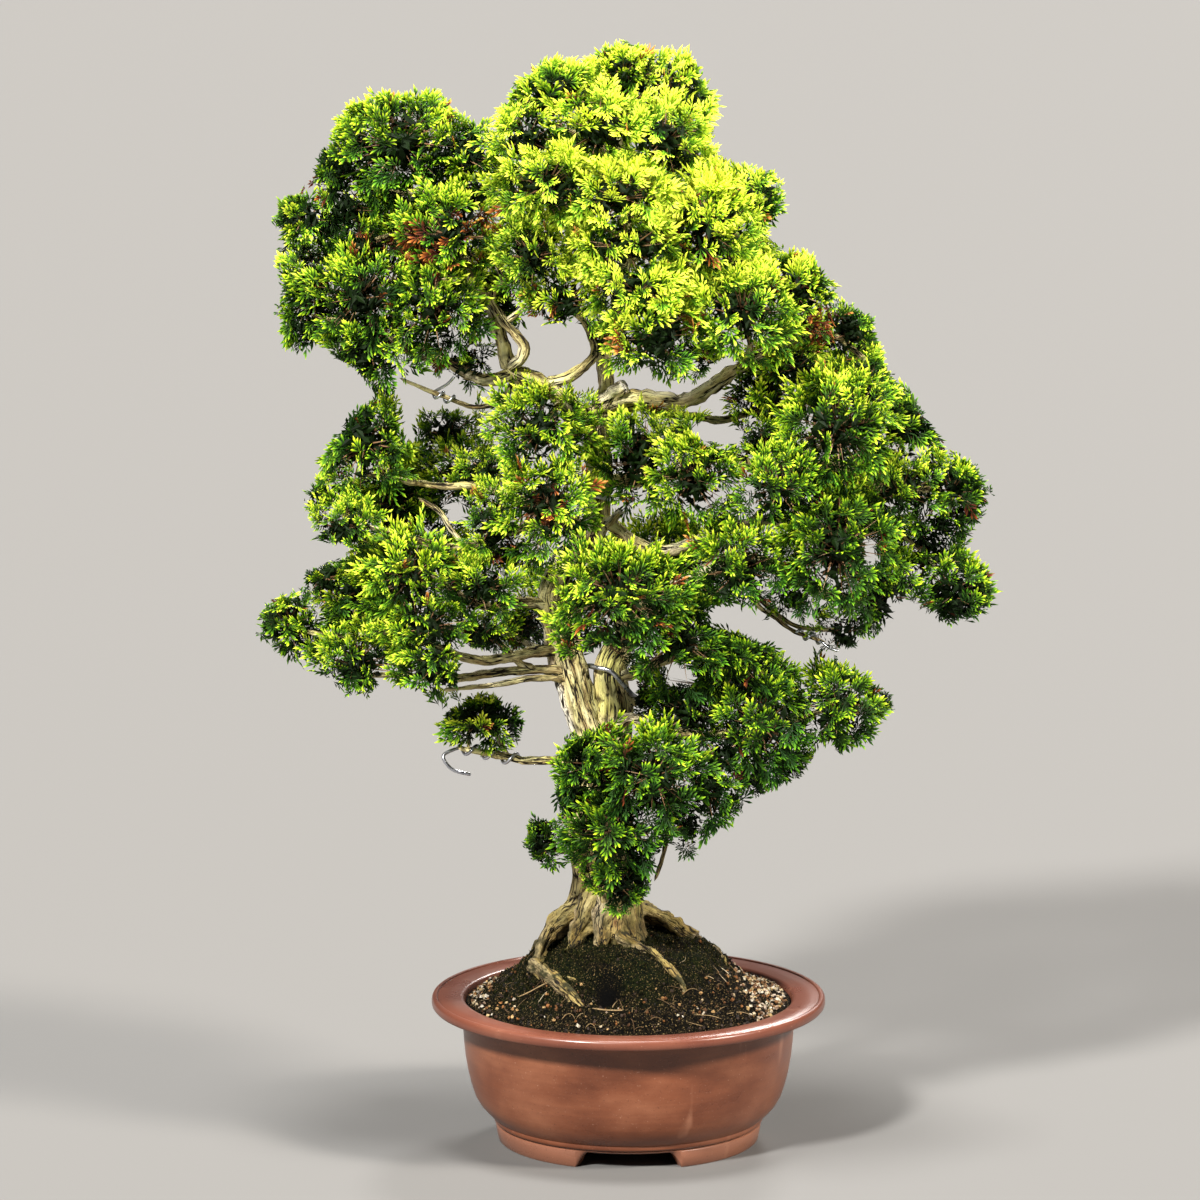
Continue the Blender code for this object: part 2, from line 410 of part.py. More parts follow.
def turned(profile, segments):
    """Points and faces of a profile of radius and height turned once round the Z axis.

    A profile that starts and ends on the axis is closed there by one point at each end,
    and any other is closed on itself as a ring.
    """
    on_axis = profile[0][0] == 0
    rings = profile[1:-1] if on_axis else profile
    points = []
    for radius, height in rings:
        for k in range(segments):
            turn = math.tau * k / segments
            points.append((radius * math.cos(turn), radius * math.sin(turn), height))
    faces = []
    for i in range(len(rings) - (1 if on_axis else 0)):
        for k in range(segments):
            a, b = i * segments + k, i * segments + (k + 1) % segments
            c, d = (((i + 1) % len(rings)) * segments + k2 for k2 in ((k + 1) % segments, k))
            faces.append((a, b, c, d))
    if on_axis:
        first, last = len(points), len(points) + 1
        points += [(0, 0, profile[0][1]), (0, 0, profile[-1][1])]
        end = (len(rings) - 1) * segments
        for k in range(segments):
            faces.append((first, (k + 1) % segments, k))
            faces.append((last, end + k, end + (k + 1) % segments))
    return points, faces


def boolean(target, operation, others, solver="EXACT"):
    """The target's mesh joined with, or cut by, all the others at once."""
    group = bpy.data.collections.new(target.name + "_group")
    for other in others:
        group.objects.link(other)
    change = target.modifiers.new("boolean", "BOOLEAN")
    change.operation = operation
    change.operand_type = "COLLECTION"
    change.collection = group
    change.solver = solver
    bpy.context.view_layer.update()
    result = bpy.data.meshes.new_from_object(
        target.evaluated_get(bpy.context.evaluated_depsgraph_get()))
    target.modifiers.remove(change)
    target.data = result
    bpy.data.collections.remove(group)


def remove(objects):
    for one in objects:
        bpy.data.objects.remove(one)


def keep_main_body(target):
    """Drop every loose scrap and sealed hollow, so that one closed body is left."""
    shape = bmesh.new()
    shape.from_mesh(target.data)
    seen, bodies = set(), []
    for start in shape.verts:
        if start in seen:
            continue
        body, front = [], [start]
        seen.add(start)
        while front:
            vert = front.pop()
            body.append(vert)
            for edge in vert.link_edges:
                other = edge.other_vert(vert)
                if other not in seen:
                    seen.add(other)
                    front.append(other)
        bodies.append(body)
    bodies.sort(key=len)
    scraps = [vert for body in bodies[:-1] for vert in body]
    bmesh.ops.delete(shape, geom=scraps, context="VERTS")
    shape.to_mesh(target.data)
    shape.free()


def finish(target, name, look, smooth_angle=None):
    target.name = name
    target.data.name = name
    target.data.materials.clear()
    target.data.materials.append(look)
    if smooth_angle:
        target.data.shade_smooth()
        target.data.set_sharp_from_angle(angle=math.radians(smooth_angle))
    return target


def pot_profile():
    outside = [(FOOT_INNER_RADIUS, 0), (FOOT_RADIUS, 0), (FOOT_RADIUS + 2.5, FOOT_HEIGHT)]
    outside += WALL_OUTSIDE
    lip = [(RIM_RADIUS - 28, LIP_UNDERSIDE), (RIM_RADIUS - 4, LIP_UNDERSIDE),
           (RIM_RADIUS, RIM_TOP - 7), (RIM_RADIUS, RIM_TOP - 3.5), (RIM_RADIUS - 3, RIM_TOP),
           (RIM_RADIUS - 7, RIM_TOP - 1.6), (LIP_INNER_RADIUS + 3, RIM_TOP - 1.5),
           (LIP_INNER_RADIUS, RIM_TOP - 4)]
    floor = [(DRAIN_RADIUS, FLOOR_TOP), (DRAIN_RADIUS, FOOT_HEIGHT),
             (FOOT_INNER_RADIUS - 1, FOOT_HEIGHT)]
    return outside + lip + WALL_INSIDE + floor


def foot_cutter(number):
    """A prism that opens the foot ring: wide at the table, with its upper corners cut off."""
    half, top, corner = CUTOUT_WIDTH / 2, CUTOUT_TOP_WIDTH / 2, 4.0
    outline = [(-half, -1), (half, -1), (top + corner, CUTOUT_HEIGHT - corner), (top, CUTOUT_HEIGHT),
               (-top, CUTOUT_HEIGHT), (-top - corner, CUTOUT_HEIGHT - corner)]
    near, far = FOOT_RADIUS - CUTOUT_DEPTH - 8, FOOT_RADIUS + 12
    turn = Matrix.Rotation(math.tau * number / CUTOUTS - math.pi / 2, 3, "Z")
    points = [turn @ Vector((reach, across, height)) for reach in (near, far)
              for across, height in outline]
    count = len(outline)
    faces = [tuple(range(count)), tuple(range(count, 2 * count))]
    faces += [(k, (k + 1) % count, count + (k + 1) % count, count + k) for k in range(count)]
    return solid("foot_cutter", points, faces)


def make_pot():
    pot = solid("pot", *turned(pot_profile(), POT_SEGMENTS))
    cutters = [foot_cutter(number) for number in range(CUTOUTS)]
    boolean(pot, "DIFFERENCE", cutters)
    remove(cutters)
    finish(pot, "pot", material("pot_clay", (0.30, 0.12, 0.08), 0.5), smooth_angle=35)


def make_screen():
    """A square plate with a grid of square holes, lying on the pot's floor."""
    low = FLOOR_TOP + GAP
    pitch = SCREEN_SIZE / SCREEN_MESH
    stops = [-SCREEN_SIZE / 2]
    for k in range(SCREEN_MESH):
        middle = -SCREEN_SIZE / 2 + pitch * (k + 0.5)
        stops += [middle - SCREEN_HOLE / 2, middle + SCREEN_HOLE / 2]
    stops.append(SCREEN_SIZE / 2)
    count = len(stops)
    points = [(x, y, z) for z in (low, low + SCREEN_THICKNESS) for x in stops for y in stops]

    def corner(layer, i, j):
        return layer * count * count + i * count + j

    def filled(i, j):
        inside = 0 <= i < count - 1 and 0 <= j < count - 1
        return inside and not (i % 2 and j % 2)

    faces = []
    for i in range(count - 1):
        for j in range(count - 1):
            if not filled(i, j):
                continue
            for layer in (0, 1):
                faces.append((corner(layer, i, j), corner(layer, i + 1, j),
                              corner(layer, i + 1, j + 1), corner(layer, i, j + 1)))
            sides = {(i - 1, j): ((i, j), (i, j + 1)), (i + 1, j): ((i + 1, j), (i + 1, j + 1)),
                     (i, j - 1): ((i, j), (i + 1, j)), (i, j + 1): ((i, j + 1), (i + 1, j + 1))}
            for beside, (start, end) in sides.items():
                if not filled(*beside):
                    faces.append((corner(0, *start), corner(0, *end), corner(1, *end), corner(1, *start)))
    screen = solid("drain_screen", points, faces)
    finish(screen, "drain_screen", material("screen_plastic", (0.03, 0.03, 0.03), 0.6))


def make_clip():
    """A wire that bridges the screen, drops through the hole and folds out under the floor."""
    top = FLOOR_TOP + GAP + SCREEN_THICKNESS + GAP + CLIP_WIRE
    leg, under = 14.5, FOOT_HEIGHT - GAP - CLIP_WIRE
    half = [(0, top), (leg - 2.5, top), (leg, top - 2.5), (leg, under + 2.5), (leg + 2.5, under),
            (leg + 22, under - 0.4)]
    route = [(-x, 0, z, CLIP_WIRE) for x, z in reversed(half[1:])] + [(x, 0, z, CLIP_WIRE) for x, z in half]
    clip = solid("screen_clip", *tube(route, WIRE_SIDES))
    finish(clip, "screen_clip", material("clip_wire", (0.55, 0.55, 0.55), 0.4, 1.0), smooth_angle=50)


def mound_height(x, y):
    """The mound's height: the profile round its own centre, with low hummocks."""
    away = (Vector((x, y)) - MOUND_CENTRE).length
    for (near, high), (far, low) in zip(MOUND, MOUND[1:]):
        if near <= away <= far:
            height = high + (low - high) * (away - near) / (far - near)
            break
    else:
        height = MOUND[-1][1]
    hummock = math.sin(x / 13 + 1) * math.cos(y / 11) + 0.6 * math.sin((x + y) / 7)
    return height + HUMMOCK * hummock


def make_soil(cutters):
    """Soil that fills the pot to its lip and rises in a mound, cut where wood runs through it."""
    wall = [(radius - GAP, height) for radius, height in reversed(WALL_INSIDE[:-1])]
    base = [(0, SCREEN_POCKET_TOP), (SCREEN_POCKET_RADIUS, SCREEN_POCKET_TOP),
            (SCREEN_POCKET_RADIUS + 1, FLOOR_TOP + GAP), (WALL_INSIDE[-1][0] - 1, FLOOR_TOP + GAP)]
    top = [(radius, 0) for radius in reversed(SOIL_RINGS)]
    profile = base + wall + [(SOIL_EDGE_RADIUS, SOIL_EDGE)] + top + [(0, 0)]
    points, faces = turned(profile, POT_SEGMENTS)
    first_on_top = (len(base) + len(wall)) * POT_SEGMENTS
    raised = []
    for number, (x, y, z) in enumerate(points):
        on_top = number >= first_on_top and number != len(points) - 2
        raised.append((x, y, mound_height(x, y) if on_top else z))
    soil = solid("soil", raised, faces)
    boolean(soil, "DIFFERENCE", cutters)
    keep_main_body(soil)
    finish(soil, "soil", material("mossy_soil", (0.035, 0.035, 0.018), 0.95))


def straightened(stem):
    """The stem without the points that lie almost on the line between those that are kept."""
    first, last = Vector(stem[0]), Vector(stem[-1])
    span = last - first
    worst, split = STRAIGHTEN, None
    for number, point in enumerate(stem[1:-1], start=1):
        away = Vector(point) - first
        share = min(1.0, max(0.0, away.dot(span) / span.dot(span)))
        off = (away - span * share).length
        if off > worst:
            worst, split = off, number
    if split is None:
        return [stem[0], stem[-1]]
    return straightened(stem[:split + 1])[:-1] + straightened(stem[split:])


def led_in(stem):
    """The stem with its end led close to the middle of the clump that it ends in, if any."""
    end = Vector(stem[-1][:3])
    depths = []
    for clump in (clump for clumps in FOLIAGE.values() for clump in clumps):
        span = Vector(clump[:3]) - end
        depths.append((span.length / clump_reach(clump, span.normalized()), clump))
    depth, clump = min(depths)
    if depth > 1:
        return stem
    return stem[:-1] + [(*end.lerp(Vector(clump[:3]), LED_IN), stem[-1][3])]


def stems():
    """Every stem of the wood, with its number of sides and its flutes."""
    for name, stem in TRUNK.items():
        yield name, straightened(stem), TRUNK_SIDES, FLUTES
    for name, stem in ROOTS.items():
        yield name, straightened(stem), LIMB_SIDES, 0.0
    for group, sides in ((LIMBS, LIMB_SIDES), (TWIGS, TWIG_SIDES)):
        for name, stem in group.items():
            yield name, straightened(led_in(stem)), sides, 0.0


def make_wood():
    parts = [solid("stem", *tube(stem, sides, 0.0, flutes)) for _name, stem, sides, flutes in stems()]
    wood, others = parts[0], parts[1:]
    boolean(wood, "UNION", others)
    remove(others)
    keep_main_body(wood)
    return finish(wood, "trunk_and_branches", material("bark", (0.42, 0.34, 0.18), 0.85), smooth_angle=50)


def wood_cutters():
    """The same stems grown by the gap, to cut room for the wood in what it runs through."""
    cutters = []
    for name, stem, sides, flutes in stems():
        cutter = solid("cutter_" + name, *tube(stem, sides, GAP, flutes))
        cutter.hide_render = True
        cutter.display_type = "WIRE"
        cutters.append(cutter)
    return cutters


def along_stem(stem, share):
    """The point, radius and direction at a share of a stem's length."""
    points = [Vector(p[:3]) for p in stem]
    lengths = [(b - a).length for a, b in zip(points, points[1:])]
    left = share * sum(lengths)
    for number, length in enumerate(lengths):
        if left <= length or number == len(lengths) - 1:
            part = left / length
            radius = stem[number][3] * (1 - part) + stem[number + 1][3] * part
            return points[number].lerp(points[number + 1], part), radius, points[number + 1] - points[number]
        left -= length


def coil_route(coil):
    """A helix round a limb, just clear of its bark, that ends in a free tail."""
    route = []
    steps = int(coil["turns"] * 7)
    for step in range(steps + 1):
        part = step / steps
        share = coil["start"] + (coil["end"] - coil["start"]) * part
        centre, radius, way = along_stem(LIMBS[coil["limb"]], share)
        way.normalize()
        side = way.cross(Vector((0, 0, 1))).normalized()
        up = side.cross(way)
        turn = math.tau * coil["turns"] * part
        reach = radius + coil["radius"] + 1.2
        point = centre + side * (math.cos(turn) * reach) + up * (math.sin(turn) * reach)
        route.append((*point, coil["radius"]))
    return route + [(*point, coil["radius"]) for point in coil["tail"]]


def wire_routes():
    for name, (radius, points) in WIRES.items():
        yield name, [(*point, radius) for point in points]
    for name, coil in WIRE_COILS.items():
        yield name, coil_route(coil)


def make_wires():
    for name, route in wire_routes():
        wire = solid(name, *tube(route, WIRE_SIDES))
        finish(wire, name, material(name + "_aluminium", (0.62, 0.63, 0.66), 0.3, 1.0), smooth_angle=50)


def wire_cutters():
    cutters = []
    for name, route in wire_routes():
        cutter = solid("cutter_" + name, *tube(route, WIRE_SIDES, GAP))
        cutter.hide_render = True
        cutter.display_type = "WIRE"
        cutters.append(cutter)
    return cutters


def clump_reach(clump, way):
    """How far a clump's egg shape reaches from its centre along a direction."""
    half = clump[3], DEPTH * (clump[3] + clump[4]) / 2, clump[4]
    return 1 / math.sqrt(sum((part / size) ** 2 for part, size in zip(way, half)))


def core_scales():
    """The share of each clump that its core fills, less where another pad's core is near."""
    scales = {(name, k): CORE for name, clumps in FOLIAGE.items() for k in range(len(clumps))}
    keys = list(scales)
    for place_a, key_a in enumerate(keys):
        for key_b in keys[place_a + 1:]:
            if key_a[0] == key_b[0]:
                continue
            clump_a, clump_b = FOLIAGE[key_a[0]][key_a[1]], FOLIAGE[key_b[0]][key_b[1]]
            span = Vector(clump_b[:3]) - Vector(clump_a[:3])
            way = span.normalized()
            need = CORE * (clump_reach(clump_a, way) + clump_reach(clump_b, way)) + 4
            share = CORE * min(1.0, span.length / need)
            scales[key_a] = min(scales[key_a], share)
            scales[key_b] = min(scales[key_b], share)
    return scales


def core(clump, scale, draw):
    """A small faceted egg in the middle of a clump."""
    spin = Matrix.Rotation(draw.uniform(0, math.tau), 3, (draw.random(), draw.random(), 1))
    half = Vector((clump[3], DEPTH * (clump[3] + clump[4]) / 2, clump[4])) * scale
    corners = [spin @ Vector(corner) for corner in
               ((1, 0, 0), (0, 1, 0), (-1, 0, 0), (0, -1, 0), (0, 0, 1), (0, 0, -1))]
    points = [Vector(clump[:3]) + Vector(a * b for a, b in zip(corner, half)) for corner in corners]
    faces = [(k, (k + 1) % 4, 4) for k in range(4)] + [((k + 1) % 4, k, 5) for k in range(4)]
    return points, faces


def fan_points(centre, along, across, base, reaches):
    """The outline of a flat fan: its base, then tips at these reaches with notches between."""
    outline = [centre + along * base]
    for k in range(2 * LOBES - 1):
        turn = SPREAD * (k / (LOBES - 1) - 1)
        before, after = reaches[k // 2], reaches[(k + 1) // 2]
        reach = min(before, after) * (NOTCH if k % 2 else 1.0)
        outline.append(centre + (along * math.cos(turn) + across * math.sin(turn)) * reach)
    return outline


def fan(outline, thickness):
    """A fan as a thin solid: its outline, with a point raised on both faces of its middle."""
    middle = outline[0].lerp(outline[len(outline) // 2], RIB_PLACE)
    normal = (outline[-1] - outline[0]).cross(outline[1] - outline[0]).normalized()
    points = outline + [middle + normal * thickness, middle - normal * thickness]
    count = len(outline)
    faces = [(k, (k + 1) % count, count) for k in range(count)]
    faces += [((k + 1) % count, k, count + 1) for k in range(count)]
    return points, faces


def spread_ways(count, draw):
    """Directions spread evenly over a sphere by the golden angle, from a drawn start."""
    offset = draw.random()
    for k in range(count):
        height = 1 - 2 * (k + offset) / count
        round_by = math.tau * (k * 0.618034 + offset)
        flat = math.sqrt(max(0.0, 1 - height * height))
        yield Vector((flat * math.cos(round_by), flat * math.sin(round_by), height))


def outward(clump):
    """The way out of the tree at a clump: away from the trunk's line, and a little up."""
    way = Vector((clump[0] + 15, clump[1], 20.0))
    return way.normalized()


def clear(points, faces, taken):
    probe = BVHTree.FromPolygons(points, faces)
    return not any(probe.overlap(tree) for tree in taken)


def inside(outline, x, z):
    """Whether a point lies inside an outline, by the crossings of a ray to its right."""
    crossings = 0
    for (x1, z1), (x2, z2) in zip(outline, outline[1:] + outline[:1]):
        if (z1 > z) != (z2 > z) and x < x1 + (x2 - x1) * (z - z1) / (z2 - z1):
            crossings += 1
    return crossings % 2 == 1


def in_canopy(point):
    """Whether a point, seen from the viewpoint, lies within the canopy and in none of its windows."""
    seen = VIEWPOINT + (point - VIEWPOINT) * (VIEWPOINT.y / (VIEWPOINT.y - point.y))
    if any(inside(window, seen.x, seen.z) for window in WINDOWS):
        return False
    return inside(CANOPY, seen.x, seen.z) or inside(LOWER_LEFT_SPRAY, seen.x, seen.z)


def lobe_reach(centre, way, side, full, taken):
    """The longest of a few reaches at which a lobe stays in the canopy and clears what is taken."""
    for share in LOBE_REACHES:
        reach = full * share
        if not in_canopy(centre + way * reach) or not in_canopy(centre + way * (0.75 * reach)):
            continue
        tip = centre + way * (reach + LOBE_ROOM)
        flank = side * (reach * LOBE_WIDTH)
        root = centre + way * (full * LOBE_ROOT)
        lift = way.cross(side) * (RIB + LOBE_ROOM)
        points = [root + lift - flank, root + lift + flank, root - lift, tip - flank, tip + flank]
        faces = [(0, 1, 4, 3), (1, 2, 4), (2, 0, 3), (2, 3, 4)]
        if clear(points, faces, taken):
            return reach
    return full * LOBE_ROOT


def evened(reaches):
    """The reaches with none much longer than the one before it."""
    kept = reaches[:1]
    for reach in reaches[1:]:
        kept.append(min(reach, kept[-1] * LOBE_STEP))
    return kept


def grow_fan(clump, scale, way, across, taken, draw):
    """A fan round one direction, rooted in the core, each lobe as long as there is room for it."""
    centre = Vector(clump[:3])
    base = clump_reach(clump, way) * scale * FAN_BASE
    reaches = []
    for k in range(LOBES):
        turn = SPREAD * (2 * k / (LOBES - 1) - 1)
        lobe = way * math.cos(turn) + across * math.sin(turn)
        side = across * math.cos(turn) - way * math.sin(turn)
        full = clump_reach(clump, lobe) * draw.uniform(*TIP_REACH)
        reaches.append(lobe_reach(centre, lobe, side, full, taken))
    reaches = evened(evened(reaches)[::-1])[::-1]
    return fan(fan_points(centre, way, across, base, reaches), RIB), sum(reaches)


def choose_fans(clump, scale, taken, draw):
    """Fans that spread from a clump's middle to its edge, turned to have the most room."""
    out = outward(clump)
    ways = sorted(spread_ways(FANS_TRIED, draw), key=lambda way: -way.dot(out))
    chosen = []
    for way in ways:
        if len(chosen) == FANS_KEPT:
            break
        own = [tree_of([shape])[0] for shape in chosen]
        best, best_score = None, 0.0
        first = draw.uniform(0, math.pi)
        for attempt in range(TURNS_TRIED):
            across = way.orthogonal().normalized()
            across.rotate(Matrix.Rotation(first + math.pi * attempt / TURNS_TRIED, 3, way))
            made, score = grow_fan(clump, scale, way, across, taken, draw)
            score *= 1.0 if clear(*made, own) else OWN_CROSSING
            if score > best_score and clear(*made, taken):
                best, best_score = made, score
        if best:
            chosen.append(best)
    return chosen


def link(a, b):
    """A leafy stem between the middles of two clumps of one pad."""
    stem = [(*a[:3], LINK_RADIUS), (*b[:3], LINK_RADIUS)]
    return tube(stem, TWIG_SIDES)


def bounds(points):
    return ([min(p[k] for p in points) for k in range(3)], [max(p[k] for p in points) for k in range(3)])


def meets(box_a, box_b):
    return all(box_a[0][k] <= box_b[1][k] and box_b[0][k] <= box_a[1][k] for k in range(3))


def box_of(target):
    return bounds([vert.co for vert in target.data.vertices])


def tree_of(shapes):
    """One search tree over several shapes, in millimetres."""
    points, faces = [], []
    for more_points, more_faces in shapes:
        start = len(points)
        points += [Vector(p) for p in more_points]
        faces += [tuple(start + k for k in face) for face in more_faces]
    return BVHTree.FromPolygons(points, faces), bounds(points)


def make_foliage(cutters):
    """Each pad: cores and stems as its heart, fans standing out, and room cut for the wood."""
    look = material("foliage", (0.16, 0.30, 0.03), 0.6)
    scales = core_scales()
    draws = {name: random.Random(f"{name} {DRAWS.get(name, 1)}") for name in FOLIAGE}
    hearts = {}
    for name, clumps in FOLIAGE.items():
        shapes = [core(clump, scales[name, k], draws[name]) for k, clump in enumerate(clumps)]
        shapes += [link(a, b) for a, b in zip(clumps, clumps[1:])]
        hearts[name] = shapes
    taken = {name: tree_of(shapes) for name, shapes in hearts.items()}
    taken["wood"] = tree_of([tube(stem, sides, GAP, flutes) for _name, stem, sides, flutes in stems()])
    taken["wires"] = tree_of([tube(route, WIRE_SIDES, GAP) for _name, route in wire_routes()])
    boxes = [(cutter, box_of(cutter)) for cutter in cutters]
    for name, clumps in FOLIAGE.items():
        shapes = list(hearts[name])
        for k, clump in enumerate(clumps):
            span = Vector((1, 1, 1)) * (TIP_REACH[1] * max(clump[3:]))
            room = bounds([Vector(clump[:3]) - span, Vector(clump[:3]) + span])
            near = [tree for other, (tree, box) in taken.items() if other != name and meets(box, room)]
            shapes += choose_fans(clump, scales[name, k], near, draws[name])
        taken[name] = tree_of(shapes)
        parts = [solid("spray", *shape) for shape in shapes]
        pad, others = parts[0], parts[1:]
        boolean(pad, "UNION", others)
        remove(others)
        box = box_of(pad)
        boolean(pad, "DIFFERENCE", [cutter for cutter, reach in boxes if meets(box, reach)])
        keep_main_body(pad)
        finish(pad, "foliage_" + name, look)


def main():
    for old in list(bpy.data.objects):
        bpy.data.objects.remove(old)
    make_pot()
    make_screen()
    make_clip()
    make_wood()
    make_wires()
    cutters = wood_cutters()
    make_soil(cutters)
    more = wire_cutters()
    make_foliage(cutters + more)
    remove(cutters + more)


main()
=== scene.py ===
import math

import bpy
import numpy as np
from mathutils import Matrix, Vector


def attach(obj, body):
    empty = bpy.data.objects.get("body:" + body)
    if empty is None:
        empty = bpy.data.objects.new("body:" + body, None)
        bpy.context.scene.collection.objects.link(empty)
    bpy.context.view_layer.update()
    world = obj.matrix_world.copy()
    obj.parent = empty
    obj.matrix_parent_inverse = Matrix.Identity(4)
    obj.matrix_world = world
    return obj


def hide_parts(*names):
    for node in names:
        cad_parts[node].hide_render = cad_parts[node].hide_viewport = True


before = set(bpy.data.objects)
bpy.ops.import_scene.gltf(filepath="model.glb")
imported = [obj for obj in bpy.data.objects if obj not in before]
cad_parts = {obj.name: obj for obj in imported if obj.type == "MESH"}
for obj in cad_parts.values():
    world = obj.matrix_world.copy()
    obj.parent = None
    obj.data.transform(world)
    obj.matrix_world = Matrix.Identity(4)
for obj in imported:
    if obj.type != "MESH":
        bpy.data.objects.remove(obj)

MM = 0.001
TURN = 2 * math.pi
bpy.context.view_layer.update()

# Camera: at the photograph's distance and height. The floor is too wide for its rim to be seen
CAMERA_PLACE = (-0.026, -5.99, 1.59)
CAMERA_PITCH = math.radians(79.7)
CAMERA_LENS = 201.5
FLOOR_RADIUS = 60.0
FLOOR_SIDES = 96
FLOOR_COLOUR = (0.125, 0.123, 0.12)

# Far lamps: the way that each shines, its width in the sky in degrees, its power and its colour
LAMPS = {
    "key_light": ((1.5, 2.3, -2.2), 7, 7.0, (1.0, 0.97, 0.92)),
    "right_light": ((-2.4, 1.2, -1.9), 10, 4.8, (1.0, 0.93, 0.84)),
    "top_light": ((0.0, 0.3, -3.0), 16, 4.2, (1.0, 0.98, 0.94)),
    "back_light": ((-0.7, -2.2, -1.8), 12, 2.0, (1.0, 0.98, 0.95)),
}
SKY_COLOUR = (1.0, 0.99, 0.97)
SKY_STRENGTH = 0.1

# Pot, as radius and height up the outside, over the lip and down the inside
FOOT_RADIUS = 119.5
FOOT_INNER_RADIUS = 107.0
FOOT_HEIGHT = 17.0
FOOT_OUTSIDE = [(FOOT_INNER_RADIUS, 1.2), (FOOT_INNER_RADIUS + 1.2, 0.0), (FOOT_RADIUS - 1.6, 0.0),
                (FOOT_RADIUS - 0.2, 1.2), (FOOT_RADIUS + 1.4, 9.0), (FOOT_RADIUS + 2.4, 15.6)]
GROOVE = [(FOOT_RADIUS + 2.2, 16.0), (FOOT_RADIUS + 0.6, 16.7), (FOOT_RADIUS + 0.6, 17.5),
          (FOOT_RADIUS + 3.2, 18.3)]
BEAD = [(FOOT_RADIUS + 4.1, 19.6), (FOOT_RADIUS + 4.4, 21.4), (FOOT_RADIUS + 4.3, 22.8)]
WALL_OUTSIDE = [(126.4, 25.0), (131.2, 29.6), (136.2, 35.4), (140.6, 43.0), (144.2, 54.0), (147.0, 66.0),
                (149.2, 79.0), (150.6, 92.0), (151.4, 105.0), (152.0, 116.0), (153.4, 122.2),
                (156.0, 124.3)]
LIP = [(166.0, 124.6), (176.0, 124.8), (178.6, 125.4), (179.8, 126.8), (180.2, 129.0), (179.9, 132.2),
       (179.0, 134.0), (177.2, 134.9), (175.2, 134.6), (174.6, 133.4), (173.8, 133.4), (173.0, 134.0),
       (162.0, 133.7), (154.0, 133.5), (151.4, 133.0), (150.1, 131.6)]
WALL_INSIDE = [(148.6, 126.5), (145.0, 118.0), (143.5, 108.0), (142.4, 95.0), (141.0, 82.0), (136.0, 56.0),
               (127.5, 36.0), (119.0, 27.0)]
POT_FLOOR = [(90.0, 27.0), (50.0, 27.0), (19.0, 27.0), (18.0, 26.0), (18.0, 18.0), (19.0, 17.0),
             (60.0, 17.0), (104.5, 17.0), (106.4, 14.0)]
POT_COLUMNS = 144
POT_SHARP_EDGE = math.radians(40)

# Cut-outs of the foot: the middle of each in degrees, and their size
CUTOUTS = (-90.0, 30.0, 150.0)
CUTOUT_HALF = 48.5
CUTOUT_HEIGHT = 15.0
CUTOUT_CORNER = 12.0

# Soil: a mound whose middle stands forward of the pot's axis, as distance from its middle and height.
# It comes down to the edge's height at the pot's wall, and has a hollow in front that is painted black as
# shade
MOUND_CENTRE = (-3.0, -15.0)
MOUND = [(0, 192), (45, 191), (62, 189), (80, 181), (92, 168), (99, 161), (110, 151), (122, 143),
         (135, 136), (175, 129)]
SOIL_RADIUS = 148.7
SOIL_EDGE = 129.0
SOIL_WALL = [(142.6, 112), (140.4, 82), (135.4, 56), (127, 36), (118, 28)]
SOIL_COLUMNS = 170
HOLLOW_PLACE = (-19.0, -106.0)
HOLLOW_RADIUS = 13.0
HOLLOW_DEPTH = 15.0

# What lies on the soil. A fallen stick has its start, its heading in degrees, its length and its radius
MOSS_STRANDS = 5800
PUMICE_GRAINS = 560
PUMICE_SIZES = (1.1, 3.1)
LAVA_GRAINS = 1080
LAVA_SIZES = (0.9, 2.6)
DRY_THREADS = 110
THREAD_POINTS = 6
STICK_POINTS = 7
FALLEN_STICKS = [(-33, -122, -12, 34, 0.7), (-100, -88, 8, 36, 0.5), (88, -98, 25, 30, 0.35),
                 (58, -118, 10, 26, 0.35)]

# Colours of the grains and threads, by a number from 0 to 1 that each has
PUMICE_COLOURS = [(0.0, (0.6, 0.55, 0.42)), (0.25, (0.4, 0.27, 0.11)), (0.45, (0.62, 0.57, 0.48)),
                  (0.65, (0.26, 0.12, 0.04)), (1.0, (0.02, 0.016, 0.012))]
LAVA_COLOURS = [(0.0, (0.006, 0.005, 0.004)), (0.6, (0.04, 0.024, 0.015)), (0.85, (0.24, 0.09, 0.02)),
                (1.0, (0.5, 0.34, 0.15))]
THREAD_COLOURS = [(0.0, (0.1, 0.055, 0.025)), (0.6, (0.3, 0.2, 0.09)), (1.0, (0.6, 0.52, 0.36))]

# How stems are drawn: points round one, the step along it and the depth of its cracks in millimetres,
# shares of lichen and of bleached wood, which is in part painted light on the lit side, how far
# flutes and lumps swell it, and how slim it is
TRUNK_BARK = {
    "base": dict(around=96, step=2.4, depth=4.2, lichen=0.5, dead=0.25, flutes=0.11),
    "left_column": dict(around=52, step=2.6, depth=2.4, lichen=0.4, dead=0.9, flutes=0.06),
    "right_column": dict(around=56, step=2.4, depth=3.2, lichen=0.7, flutes=0.08),
}
ROOT_BARK = dict(around=28, step=2.6, depth=2.8, lichen=0.3, dead=0.6, lumps=0.17, slim=0.9)
LIMB_BARK = dict(around=16, step=3.9, depth=1.0, lichen=0.45, dead=0.4, lumps=0.12, slim=0.92)
STUMP_BARK = dict(around=24, step=2.4, depth=1.6, lichen=0.4, dead=0.6, lumps=0.16, blunt=True)
TWIG_BARK = dict(around=7, step=4.6, depth=0.4, lichen=0.2, dead=0.4, lumps=0.14, slim=0.85)

